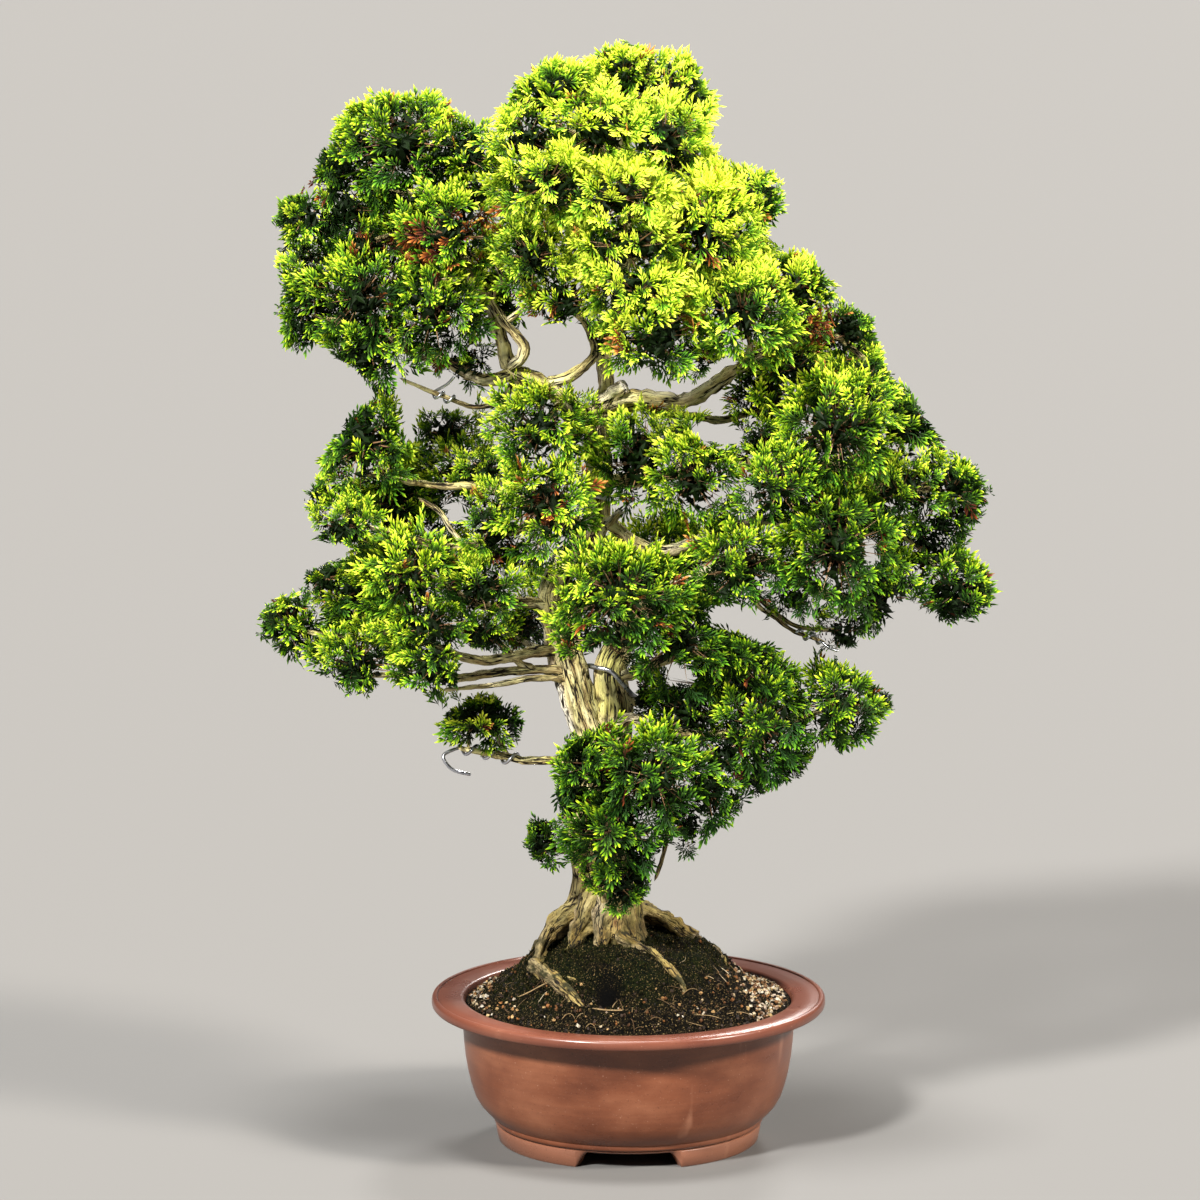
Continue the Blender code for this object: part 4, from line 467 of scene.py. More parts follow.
def length_of(ways):
    """The length of each vector, kept as a last column."""
    return np.linalg.norm(ways, axis=-1, keepdims=True)


def unit(ways):
    """Each vector over its length."""
    return ways / np.maximum(length_of(ways), 1e-12)


def distance_along(points):
    """How far along a line of points each one is: the running sum of the steps between them."""
    return np.concatenate([[0], np.cumsum(np.linalg.norm(np.diff(points, axis=0), axis=1))])


def turns_round(count):
    """Angles evenly spaced once round."""
    return TURN * np.arange(count) / count


def turned(radius, height, turn):
    """Points at each radius and height, at each turn round the upright axis."""
    return np.stack(np.broadcast_arrays(radius * np.cos(turn), radius * np.sin(turn), height), -1)


def ripples(points, wavelength, name, waves=14):
    """Smooth noise: the sum of sine waves of about one wavelength, with drawn directions and phases."""
    draw = chance(name)
    ways = unit(draw.normal(size=(waves, points.shape[-1])))
    ways *= TURN / wavelength * draw.uniform(0.6, 1.5, (waves, 1))
    return np.sin(points @ ways.T + draw.uniform(0, TURN, waves)).sum(-1) / math.sqrt(waves)


def step_up(low, high, values):
    """A smooth step from 0 at low to 1 at high: three shares squared less two shares cubed."""
    share = np.clip((values - low) / (high - low), 0, 1)
    return share * share * (3 - 2 * share)


def outward(points, faces):
    """The triangles, all turned over where the volume that they close comes out negative."""
    a, b, c = (points[faces[:, k]] for k in range(3))
    volume = np.einsum("ij,ij->", a, np.cross(b, c))
    return faces if volume > 0 else faces[:, ::-1]


def skin(rows, columns, joined=False):
    """Triangles over a grid of rings, two to a cell; a joined grid's last ring meets its first."""
    row, column = np.mgrid[0:rows if joined else rows - 1, 0:columns]
    near, far = row * columns, (row + 1) % rows * columns
    after = (column + 1) % columns
    cells = [near + column, near + after, far + after, near + column, far + after, far + column]
    return np.stack(cells, -1).reshape(-1, 3)


def closed_shell(grid):
    """A grid of rings closed at both ends, each by a point in the middle of the end ring."""
    rows, columns = grid.shape[:2]
    points = np.concatenate([grid.reshape(-1, 3), grid[:1].mean(1), grid[-1:].mean(1)])
    around = np.arange(columns)
    after = (around + 1) % columns
    last = (rows - 1) * columns
    first_end = np.stack([after, around, np.full(columns, rows * columns)], -1)
    last_end = np.stack([last + around, last + after, np.full(columns, rows * columns + 1)], -1)
    faces = np.concatenate([skin(rows, columns), first_end, last_end])
    return points, outward(points, faces)


def with_ends(values):
    """The values of a grid in a row, with the middle values of its two end rings after them."""
    return np.concatenate([values.ravel(), [values[0].mean(), values[-1].mean()]])


def copies(shape, faces, places, frames, marks):
    """One shape set down at many places, each with its own three directions scaled to size."""
    points = places[:, None] + np.einsum("pk,nkj->npj", shape, frames)
    starts = len(shape) * np.arange(len(places))[:, None, None]
    named = {name: np.repeat(values, len(shape)) if values.ndim == 1 else values.ravel()
             for name, values in marks.items()}
    return points.reshape(-1, 3), (faces + starts).reshape(-1, 3), named


def gathered(shapes):
    """Several (points, faces, marks) as one, with the faces counted on and the marks end to end."""
    starts = np.cumsum([0] + [len(points) for points, _faces, _marks in shapes[:-1]])
    points = np.concatenate([points for points, _faces, _marks in shapes])
    faces = np.concatenate([faces + start for (_points, faces, _marks), start in zip(shapes, starts)])
    marks = {name: np.concatenate([marks[name] for _points, _faces, marks in shapes])
             for name in shapes[0][2]}
    return points, faces, marks


def piece(name, points, faces, marks, look, slot, nodes=(), smooth=True):
    """A mesh object in metres, riding on the body, with one value or vector for each point per mark."""
    mesh = bpy.data.meshes.new(name)
    mesh.vertices.add(len(points))
    mesh.vertices.foreach_set("co", np.ascontiguousarray(points, np.float32).ravel())
    mesh.loops.add(faces.size)
    mesh.loops.foreach_set("vertex_index", np.ascontiguousarray(faces, np.int32).ravel())
    mesh.polygons.add(len(faces))
    mesh.polygons.foreach_set("loop_start", np.arange(0, faces.size, 3, dtype=np.int32))
    mesh.update(calc_edges=True)
    mesh.validate()
    for mark, values in marks.items():
        kind, key = ("FLOAT", "value") if values.ndim == 1 else ("FLOAT_VECTOR", "vector")
        layer = mesh.attributes.new(mark, kind, "POINT")
        layer.data.foreach_set(key, np.ascontiguousarray(values, np.float32).ravel())
    mesh.polygons.foreach_set("use_smooth", np.full(len(faces), smooth))
    mesh.materials.append(look)
    made = bpy.data.objects.new(name, mesh)
    bpy.context.scene.collection.objects.link(made)
    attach(made, "root")
    if nodes:
        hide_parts(*nodes)
    return made


# Materials

def new_look(name):
    """A new material, its node tree and its shader."""
    look = bpy.data.materials.new(name)
    look.use_nodes = True
    return look, look.node_tree, look.node_tree.nodes["Principled BSDF"]


def put(tree, socket, value):
    """Fills a socket: linked from another socket, or set to a colour, a vector or a number."""
    if isinstance(value, bpy.types.NodeSocket):
        tree.links.new(value, socket)
    elif socket.type == "RGBA":
        socket.default_value = (*value, 1.0)
    else:
        socket.default_value = value


def add_node(tree, kind, inputs, **settings):
    """A node with its settings made and its inputs, by name or number, filled."""
    node = tree.nodes.new(kind)
    for key, value in settings.items():
        setattr(node, key, value)
    for key, value in inputs.items():
        put(tree, node.inputs[key], value)
    return node


def surface(tree, shader, colour, roughness, specular=0.5):
    """The shader's colour, roughness and specular level, each a socket or a constant."""
    put(tree, shader.inputs["Base Color"], colour)
    put(tree, shader.inputs["Roughness"], roughness)
    put(tree, shader.inputs["Specular IOR Level"], specular)


def noise(tree, place, scale, detail=4.0, roughness=0.55, stretch=(1, 1, 1)):
    """Noise read at a place, stretched by a mapping; gives its value's socket."""
    mapping = add_node(tree, "ShaderNodeMapping", {"Vector": place, "Scale": stretch})
    grain = {"Vector": mapping.outputs["Vector"], "Scale": scale, "Detail": detail, "Roughness": roughness}
    return add_node(tree, "ShaderNodeTexNoise", grain).outputs["Fac"]


def ramp(tree, value, stops):
    """A colour ramp through (place, (red, green, blue)) stops; gives its colour's socket."""
    made = add_node(tree, "ShaderNodeValToRGB", {"Fac": value})
    band = made.color_ramp
    while len(band.elements) < len(stops):
        band.elements.new(0.5)
    for element, (place, colour) in zip(band.elements, stops):
        element.position = place
        element.color = (*colour, 1.0)
    return made.outputs["Color"]


def blend(tree, share, below, above, kind="MIX"):
    """Two colours mixed by a share, each a socket or a constant; gives the colour's socket."""
    inputs = {0: share, 6: below, 7: above}
    return add_node(tree, "ShaderNodeMix", inputs, data_type="RGBA", blend_type=kind).outputs[2]


def spread(tree, value, low, high, to_low=0.0, to_high=1.0):
    """A value carried from one range to another and held within it."""
    inputs = {"Value": value, "From Min": low, "From Max": high, "To Min": to_low, "To Max": to_high}
    return add_node(tree, "ShaderNodeMapRange", inputs).outputs["Result"]


def product(tree, one, other):
    """Two values multiplied."""
    return add_node(tree, "ShaderNodeMath", {0: one, 1: other}, operation="MULTIPLY").outputs[0]


def mark_of(tree, name, output="Fac"):
    """What a mesh keeps at its points under a name."""
    return add_node(tree, "ShaderNodeAttribute", {}, attribute_name=name).outputs[output]


def object_place(tree):
    """The place on the object, in metres."""
    return add_node(tree, "ShaderNodeTexCoord", {}).outputs["Object"]


def height_of(tree):
    """How high each place is over the ground, in metres."""
    return add_node(tree, "ShaderNodeSeparateXYZ", {0: object_place(tree)}).outputs["Z"]


def relief(tree, shader, height, distance, strength=1.0):
    """Fine relief in the shader's normal, as deep as the distance in metres."""
    bump = add_node(tree, "ShaderNodeBump", {"Height": height, "Distance": distance, "Strength": strength})
    put(tree, shader.inputs["Normal"], bump.outputs["Normal"])


def leaf_look():
    """Scale leaves, black-green at the root through green to yellow at the tip, some dried red-brown.

    Stalks have their own brown, and the cooler of two greens goes by the sprig's tint, which leans
    cool on the side of the clump away from the light as painted shade. The tone that picks along the
    ramps carries painted light and painted shade, so the black-green low in the ramps is in part
    painted shade.
    """
    look, tree, shader = new_look("scale_leaves")
    tone = mark_of(tree, "tone")
    green = ramp(tree, tone, [(0.0, (0.002, 0.006, 0.001)), (0.26, (0.017, 0.05, 0.003)),
                              (0.48, (0.1, 0.232, 0.004)), (0.68, (0.4, 0.56, 0.012)),
                              (1.0, (0.78, 0.86, 0.07))])
    cool = ramp(tree, tone, [(0.0, (0.002, 0.006, 0.001)), (0.3, (0.011, 0.055, 0.004)),
                             (0.6, (0.1, 0.295, 0.01)), (1.0, (0.53, 0.72, 0.06))])
    living = blend(tree, mark_of(tree, "tint"), green, cool)
    dry = ramp(tree, tone, [(0.0, (0.012, 0.003, 0.002)), (0.4, (0.085, 0.017, 0.005)),
                            (0.7, (0.27, 0.075, 0.012)), (1.0, (0.58, 0.27, 0.06))])
    stalk = ramp(tree, tone, [(0.0, (0.055, 0.028, 0.012)), (0.5, (0.24, 0.13, 0.062)),
                              (1.0, (0.56, 0.41, 0.26))])
    leaves = blend(tree, mark_of(tree, "dry"), living, dry)
    surface(tree, shader, blend(tree, mark_of(tree, "stalk"), leaves, stalk), 0.6, 0.12)
    return look


def lines_in(tree, value, width):
    """1 along the lines where a noise passes its middle value and 0 beside them."""
    return ramp(tree, value, [(0.5 - 2.2 * width, (0, 0, 0)), (0.5 - width, (1, 1, 1)),
                              (0.5 + width, (1, 1, 1)), (0.5 + 2.2 * width, (0, 0, 0))])


def bark_look():
    """Stringy bark: cream and tan strips parted by black cracks, their black in part painted shade, with
    rust, lichen and pale deadwood.

    It is darker and browner low down, and overgrown in patches just over the soil.
    """
    look, tree, shader = new_look("stringy_bark")
    grain = mark_of(tree, "grain", "Vector")
    streak = noise(tree, grain, 190.0, 5.0, 0.62, (1, 1, 0.16))
    patch = noise(tree, grain, 55.0, 3.0, 0.5, (1, 1, 0.4))
    long_noise = noise(tree, grain, 125.0, 3.0, 0.6, (1, 1, 0.11))
    short_noise = noise(tree, grain, 260.0, 3.0, 0.6, (1, 1, 0.18))
    fibre = noise(tree, grain, 900.0, 3.0, 0.6, (1, 1, 0.06))
    mud = noise(tree, grain, 75.0, 4.0, 0.6)
    bark = ramp(tree, streak, [(0.27, (0.05, 0.026, 0.01)), (0.36, (0.33, 0.22, 0.085)),
                               (0.45, (0.68, 0.55, 0.25)), (0.57, (0.88, 0.78, 0.4)),
                               (0.74, (0.94, 0.87, 0.58))])
    rust = blend(tree, spread(tree, patch, 0.58, 0.68, 0.0, 0.7), bark, (0.42, 0.2, 0.13))
    crust = ramp(tree, streak, [(0.3, (0.06, 0.06, 0.01)), (0.44, (0.38, 0.38, 0.07)),
                                (0.62, (0.74, 0.73, 0.2))])
    crusted = blend(tree, mark_of(tree, "lichen"), rust, crust)
    # Pale deadwood, laid on the lit side of each stem: in part painted light
    dead = product(tree, mark_of(tree, "dead"), spread(tree, streak, 0.3, 0.42))
    bleached_and_lit = blend(tree, dead, crusted, (0.92, 0.87, 0.74))
    # Black crack lines and furrows: the cracks' own dark, and in part painted shade in them
    long_lines = lines_in(tree, long_noise, 0.012)
    short_lines = lines_in(tree, short_noise, 0.006)
    parted = blend(tree, short_lines, bleached_and_lit, (0.13, 0.08, 0.04))
    cracked_and_shaded = blend(tree, long_lines, parted, (0.012, 0.007, 0.004))
    deep = blend(tree, mark_of(tree, "crack"), cracked_and_shaded, (0.01, 0.006, 0.004))
    height = height_of(tree)
    # Darker and browner toward the soil, by height alone
    darker_low_down = blend(tree, spread(tree, height, 0.2, 0.33, 0.95, 0.0), deep, (0.34, 0.28, 0.18), "MULTIPLY")
    near_soil = product(tree, spread(tree, height, 0.175, 0.25, 1.0, 0.0), spread(tree, mud, 0.44, 0.58))
    surface(tree, shader, blend(tree, near_soil, darker_low_down, (0.03, 0.028, 0.009)), 0.8, 0.25)
    raised = blend(tree, short_lines, fibre, (0.25, 0.25, 0.25))
    relief(tree, shader, blend(tree, long_lines, raised, (0.0, 0.0, 0.0)), 0.0022, 0.9)
    return look


def clay_look():
    """Unglazed clay: red-brown with turning marks, a purplish lip, specks and a few pale scuffs."""
    look, tree, shader = new_look("unglazed_clay")
    place, height = object_place(tree), height_of(tree)
    cloud = noise(tree, place, 14.0, 4.0, 0.55, (1, 1, 1.8))
    rings = noise(tree, place, 120.0, 3.0, 0.5, (0.06, 0.06, 2.2))
    runs = noise(tree, place, 42.0, 2.0, 0.5, (1, 1, 0.16))
    speck = noise(tree, place, 620.0, 2.0, 0.5)
    clay = ramp(tree, cloud, [(0.3, (0.1, 0.028, 0.012)), (0.5, (0.16, 0.05, 0.022)),
                              (0.7, (0.225, 0.082, 0.04))])
    marked = blend(tree, spread(tree, rings, 0.35, 0.65, 0.0, 0.14), clay, (0.06, 0.016, 0.008))
    stained = blend(tree, spread(tree, runs, 0.64, 0.72, 0.0, 0.34), marked, (0.42, 0.2, 0.12))
    lip = blend(tree, spread(tree, height, 0.121, 0.128, 0.0, 0.6), stained, (0.125, 0.04, 0.028))
    foot = blend(tree, spread(tree, height, 0.0165, 0.0175, 0.5, 0.0), lip, (0.27, 0.125, 0.08))
    specks = blend(tree, spread(tree, speck, 0.66, 0.72, 0.0, 0.5), foot, (0.03, 0.01, 0.007))
    pale = blend(tree, spread(tree, speck, 0.31, 0.25, 0.0, 0.4), specks, (0.48, 0.28, 0.2))
    surface(tree, shader, pale, spread(tree, cloud, 0.3, 0.7, 0.24, 0.38), 0.45)
    relief(tree, shader, rings, 0.0005, 0.2)
    return look


def soil_look():
    """Dark wet grit with a few pale crumbs under olive moss, and painted black shade in the hollow."""
    look, tree, shader = new_look("mossy_ground")
    place = object_place(tree)
    grit = noise(tree, place, 420.0, 4.0, 0.6)
    patch = noise(tree, place, 40.0, 3.0, 0.5)
    crumbs = noise(tree, place, 760.0, 2.0, 0.5)
    soil = ramp(tree, grit, [(0.4, (0.001, 0.001, 0.001)), (0.58, (0.005, 0.004, 0.002)),
                             (0.76, (0.036, 0.024, 0.012))])
    moss = ramp(tree, grit, [(0.4, (0.001, 0.002, 0.001)), (0.74, (0.011, 0.014, 0.003))])
    grown = blend(tree, product(tree, mark_of(tree, "moss"), spread(tree, patch, 0.35, 0.55)), soil, moss)
    bits = blend(tree, spread(tree, crumbs, 0.62, 0.68), grown, (0.15, 0.105, 0.045))
    # The hollow's mask blends the colour to black: painted shade in the hollow
    surface(tree, shader, blend(tree, mark_of(tree, "hollow"), bits, (0.001, 0.001, 0.001)), 0.95, 0.05)
    relief(tree, shader, grit, 0.0025, 1.0)
    return look


def moss_look():
    """Moss strands: near-black olive at the root, dull green to straw at the tip."""
    look, tree, shader = new_look("moss_strands")
    tone = mark_of(tree, "tone")
    olive = ramp(tree, tone, [(0.0, (0.001, 0.002, 0.001)), (0.6, (0.009, 0.013, 0.002)),
                              (1.0, (0.13, 0.14, 0.03))])
    straw = ramp(tree, tone, [(0.0, (0.004, 0.003, 0.001)), (0.6, (0.04, 0.028, 0.01)),
                              (1.0, (0.36, 0.28, 0.11))])
    surface(tree, shader, blend(tree, mark_of(tree, "tint"), olive, straw), 0.9, 0.05)
    return look


def grain_look(name, stops):
    """Stone grains or threads: a colour for each from its own tint, roughened by fine noise."""
    look, tree, shader = new_look(name)
    fine = noise(tree, object_place(tree), 900.0, 3.0, 0.6)
    base = ramp(tree, mark_of(tree, "tint"), stops)
    shade = spread(tree, fine, 0.35, 0.65, 0.0, 0.55)
    surface(tree, shader, blend(tree, shade, base, (0.02, 0.015, 0.01), "MULTIPLY"), 0.8, 0.25)
    relief(tree, shader, fine, 0.0006, 0.6)
    return look


def wire_look():
    """Bare aluminium wire, dulled in patches along its length."""
    look, tree, shader = new_look("bare_aluminium")
    dull = noise(tree, object_place(tree), 160.0, 3.0, 0.5)
    silver = ramp(tree, dull, [(0.3, (0.36, 0.37, 0.41)), (0.7, (0.72, 0.73, 0.78))])
    surface(tree, shader, silver, spread(tree, dull, 0.3, 0.7, 0.22, 0.42))
    shader.inputs["Metallic"].default_value = 1.0
    return look


def plastic_look():
    """Black plastic mesh with a dusty film."""
    look, tree, shader = new_look("black_mesh")
    dust = noise(tree, object_place(tree), 220.0, 3.0, 0.6)
    film = ramp(tree, dust, [(0.4, (0.012, 0.012, 0.012)), (0.75, (0.06, 0.052, 0.042))])
    surface(tree, shader, film, 0.6)
    return look


# Paths and stems

def smoothed(stem, step):
    """The stem drawn as a Catmull-Rom curve through its points, sampled about every step, in metres."""
    knots = np.array(stem, float) * MM
    knots = np.concatenate([2 * knots[:1] - knots[1:2], knots, 2 * knots[-1:] - knots[-2:-1]])
    count = len(stem)
    distance = distance_along(knots[1:-1, :3])
    samples = max(6, int(distance[-1] / (step * MM)))
    at = np.interp(np.linspace(0, distance[-1], samples), distance, np.arange(count))
    piece_of = np.minimum(at.astype(int), count - 2)
    u = (at - piece_of)[:, None]
    before, here, after, beyond = (knots[piece_of + k] for k in range(4))
    return 0.5 * (2 * here + (after - before) * u + (2 * before - 5 * here + 4 * after - beyond) * u ** 2
                  + (3 * here - before - 3 * after + beyond) * u ** 3)


def ring_ways(centre, turn):
    """The ways out of a path at each of its points and turns, all square to it.

    They start from the world axis that lies least along the path.
    """
    ways = unit(np.gradient(centre, axis=0))
    axis = np.eye(3)[np.abs(ways).max(0).argmin()]
    side = unit(np.cross(ways, axis))
    other = np.cross(ways, side)
    return side[:, None] * np.cos(turn)[:, None] + other[:, None] * np.sin(turn)[:, None]


def end_fade(distance, radius, length):
    """How full each ring is: a quarter circle over the last stretch at either end."""
    left = np.clip(np.minimum(distance, length - distance) / (0.9 * radius), 0, 1)
    return np.sqrt(np.clip(1 - (1 - left) ** 2, 0, 1))


def plain_tube(line, around, step, tint=0.5):
    """A round tube along a smoothed line of x, y, z and radius, rounded off at its ends."""
    line = smoothed(line, step)
    centre, radius = line[:, :3], line[:, 3]
    distance = distance_along(centre)
    fade = np.maximum(end_fade(distance, radius, distance[-1]), 0.25)
    reach = (radius * fade)[:, None, None]
    points, faces = closed_shell(centre[:, None] + ring_ways(centre, turns_round(around)) * reach)
    return points, faces, {"tint": np.full(len(points), tint)}


def stem_shape(name, stem, around, step, depth, lichen, dead=0.0, flutes=0.0, lumps=0.05, slim=1.0,
               blunt=False):
    """A stem with bark: rings along a curve, furrowed where a stretched noise passes through zero.

    The radius swells with flutes three and five times round, with lumps and with long, low
    strips, and drops by the depth in the cracks. Marks keep the bark's own place, its cracks,
    its lichen on the upper side and its bleached strips, which lean to the stem's left and upper
    side where the key light falls, and so are in part painted light. A blunt stem keeps its full
    width to its ends, and its last ring is sawn, pale wood.
    """
    line = smoothed(stem, step)
    centre, radius = line[:, :3], line[:, 3] * slim
    distance = distance_along(centre)
    fade = np.ones_like(radius) if blunt else end_fade(distance, radius, distance[-1])
    turn = turns_round(around)
    mean = radius.mean()
    grain = turned(radius[:, None], distance[:, None], turn)
    stretched = grain * (1, 1, 0.15)
    width = np.clip(0.55 * mean, 0.0035, 0.011)
    wander = ripples(stretched, width, name + "cracks")
    gate = ripples(grain * (1, 1, 0.4), width * 3, name + "gate")
    crack = np.exp(-(wander / 0.13) ** 2) * step_up(-0.9, 0.2, gate)
    strips = ripples(stretched, width * 1.7, name + "strips")
    knots = ripples(grain, max(0.012, mean * 1.6), name + "knots")
    swell = 1 + flutes * (np.sin(3 * turn + 1.3) + np.sin(5 * turn)) + lumps * knots
    reach = radius[:, None] * swell * fade[:, None]
    reach += depth * MM * (0.45 * strips - crack) * fade[:, None]
    reach = np.maximum(reach, 0.15 * (radius * fade)[:, None] + 1e-5)
    out = ring_ways(centre, turn)
    grid = centre[:, None] + out * reach[..., None]
    points, faces = closed_shell(grid)
    mossed = lichen * step_up(-0.5, 0.8, out[..., 2] + 0.6 * ripples(grid, 0.03, name + "lichen"))
    # Bleached strips lean to each stem's left and upper side, where the key light falls: real deadwood, and
    # in part painted light
    bare = 0.5 * ripples(stretched, width * 4, name + "dead") - 1.1 * out[..., 0] + 0.3 * out[..., 2]
    bleached_and_lit = dead * step_up(0.35, 0.95, bare)
    marks = {"grain": np.concatenate([grain.reshape(-1, 3), np.zeros((2, 3))]),
             "crack": with_ends(crack * 0.92), "lichen": with_ends(mossed), "dead": with_ends(bleached_and_lit)}
    if blunt:
        marks["dead"][-around:] = 0.9
    return points, faces, marks


def make_wood(look):
    """Trunk, roots, limbs, stumps and twigs as furrowed stems that run into each other."""
    shapes = [stem_shape(name, stem, **TRUNK_BARK[name]) for name, stem in TRUNK.items()]
    for stems, bark in ((ROOTS, ROOT_BARK), (LIMBS, LIMB_BARK), (CUT_STUMPS, STUMP_BARK), (TWIGS, TWIG_BARK)):
        shapes += [stem_shape(name, stem, **bark) for name, stem in stems.items()]
    piece("wood", *gathered(shapes), look, "bark", ["trunk_and_branches"])


# Foliage

def in_outline(outline, seen):
    """Whether each seen point lies inside an outline, by the crossings of a ray to its right."""
    start = np.array(outline, float) * MM
    end = np.roll(start, -1, axis=0)
    x, z = seen[:, :1], seen[:, 1:]
    spans = (start[:, 1] > z) != (end[:, 1] > z)
    rise = np.where(end[:, 1] == start[:, 1], 1, end[:, 1] - start[:, 1])
    crossing = start[:, 0] + (end[:, 0] - start[:, 0]) * (z - start[:, 1]) / rise
    return (spans & (x < crossing)).sum(1) % 2 == 1


def seen_from_front(points):
    """Where the line from the camera's place through each point meets the trunk's plane, as x and z."""
    eye = np.array(CAMERA_PLACE)
    share = eye[1] / (eye[1] - points[:, 1:2])
    return (eye + (points - eye) * share)[:, [0, 2]]


def in_canopy(points):
    """Whether points stand within the canopy's outline from the front and in none of its windows."""
    seen = seen_from_front(points)
    kept = in_outline(CANOPY, seen) | in_outline(LOWER_LEFT_SPRAY, seen)
    for window in WINDOWS:
        kept &= ~in_outline(window, seen)
    return kept


def clump_table():
    """The pad number, centre and half sizes of every clump, in metres."""
    rows = np.array([(number, *clump) for number, clumps in enumerate(FOLIAGE.values())
                     for clump in clumps], float)
    across, high = rows[:, 4], rows[:, 5]
    halves = np.stack([across, CLUMP_DEPTH * (across + high) / 2, high], -1) * MM
    return rows[:, 0].astype(int), rows[:, 1:4] * MM, halves


def deepness(points, centres, halves):
    """The least distance of each point from a clump's centre, as a share of that clump's reach."""
    offsets = (points[:, None] - centres) / halves
    return np.sqrt((offsets ** 2).sum(-1)).min(1)


def sprig_shape(draw):
    """A forked sprig: a bent row of blades with pairs at its sides, all in one slightly arched plane.

    One side blade is left out by chance. A blade has four points, its root, a lower pair at
    seven tenths of its length and its tip, which make a thin kite with a ridge along it. Gives
    the points, the triangles, and how far along the sprig each point is.
    """
    rows = [(0.0, 0.0, 12.5, 1.6), (10.0, draw.uniform(-8, 8), 10.5, 2.5)]
    for at, turn, length in ((2.2, 47, 9.8), (6.0, 39, 9.8), (9.8, 32, 8.4)):
        for way in (-1, 1):
            rows.append((at + draw.uniform(-1.0, 1.0), way * (turn + draw.uniform(-9, 9)),
                         length * draw.uniform(0.8, 1.12), draw.uniform(1.9, 2.4)))
    rows.pop(draw.integers(2, len(rows)))
    start, turn, length, width = np.array(rows).T
    cos, sin = np.cos(np.radians(turn)), np.sin(np.radians(turn))
    along = np.array([0, 0.7, 0.7, 1.0])
    aside = np.array([0, -0.5, 0.5, 0])
    lift = np.array([0.2, -0.2, -0.2, 0.2])
    reach, off = length[:, None] * along, width[:, None] * aside
    x = start[:, None] + cos[:, None] * reach - sin[:, None] * off
    y = sin[:, None] * reach + cos[:, None] * off
    droop = draw.uniform(-0.016, 0.022)
    z = width[:, None] * lift + droop * (x * x + y * y) + draw.uniform(-0.8, 0.8, (len(rows), 1)) * along
    points = np.stack([x, y, z], -1).reshape(-1, 3) / SPRIG_LENGTH
    faces = (KITE_FACES + 4 * np.arange(len(rows))[:, None, None]).reshape(-1, 3)
    share = np.clip(np.hypot(points[:, 0], points[:, 1]), 0, 1) * (0.16 + 0.84 * np.tile(along, len(rows)))
    return points, faces, share


def in_sight(places, centres, halves, views):
    """Whether a ray from each place along any of the views stays out of every clump's middle.

    The ray's nearest pass is worked out in each clump's own measure, where it is a unit ball.
    """
    offset = (places[:, None] - centres) / halves
    seen = np.zeros(len(places), bool)
    for view in np.array(views, float):
        step = view / halves
        along = np.maximum(-(offset * step).sum(-1) / (step ** 2).sum(-1), 0)
        nearest = offset + along[..., None] * step
        seen |= ((nearest ** 2).sum(-1) > CLUMP_MIDDLE ** 2).all(1)
    return seen


def spaced(places, cell):
    """The first place in each cell of a grid over space, which keeps the rest from crowding."""
    cells = np.column_stack([np.floor(places / cell[:, None]), cell])
    return np.sort(np.unique(cells, axis=0, return_index=True)[1])


def spray_places(draw, centres, halves):
    """Where sprays stand: on every clump by the golden angle, lying over each other like shingles.

    Gives for each spray the clump, the root, the way that it grows, the way that its face
    looks, and how large it is. Sprays that no view can see are left out, and those that are
    left are spaced out by cells, which are smaller where the spray shows from the front.
    """
    area = halves[:, 0] * halves[:, 1] + halves[:, 0] * halves[:, 2] + halves[:, 1] * halves[:, 2]
    counts = np.ceil(SPRAYS_TRIED * area / area.sum()).astype(int)
    of = np.repeat(np.arange(len(counts)), counts)
    number = np.arange(len(of)) - np.repeat(np.cumsum(counts) - counts, counts)
    height = 1 - 2 * (number + 0.5) / counts[of]
    turn = TURN * (GOLDEN_TURN * number + draw.random(len(counts))[of])
    way = turned(np.sqrt(np.maximum(0, 1 - height ** 2)), height, turn)
    reach = 1 / length_of(way / halves[of])
    size = np.clip(reach[:, 0] / (USUAL_CLUMP * MM), 0.72, 1.05) * draw.uniform(0.88, 1.12, len(of))
    out = unit(centres[of] * (1, 1, 0) + (0.015, 0, 0.02))
    tangent = draw.normal(0, 0.8, way.shape) + way * (1, 0, 1) * 0.8 + out * 0.4 + (0, 0, 0.25)
    tangent = unit(tangent - way * (tangent * way).sum(-1, keepdims=True))
    grow = unit(way * draw.uniform(0.25, 1.1, (len(of), 1)) + tangent)
    face = way + draw.normal(0, 0.35, way.shape)
    face = unit(face - grow * (face * grow).sum(-1, keepdims=True))
    root = centres[of] + way * reach * draw.uniform(*ROOT_SHARE, (len(of), 1))
    tips = root + grow * SPRAY_REACH * MM
    front = in_sight(tips, centres, halves, [FRONT_VIEW])
    exposed = np.flatnonzero(front | in_sight(tips, centres, halves, VIEWS))
    cell = np.where(front[exposed], SPRAY_CELL_FRONT, SPRAY_CELL_OTHER) * MM
    kept = exposed[spaced(root[exposed], cell)]
    return [values[kept] for values in (of, root, grow, face, size)]


def drawn_in(start, span, centre):
    """Starts moved toward the clump's middle till each sprig's end fits in the outline, and which fit."""
    fits = np.zeros(len(start), bool)
    moved = start.copy()
    for share in (1.0, 0.86, 0.72, 0.58, 0.45):
        tips = centre + (start + span - centre) * share
        good = in_canopy(tips) & in_canopy(tips - 0.4 * span) & ~fits
        moved[good] = (tips - span)[good]
        fits |= good
    return moved, fits


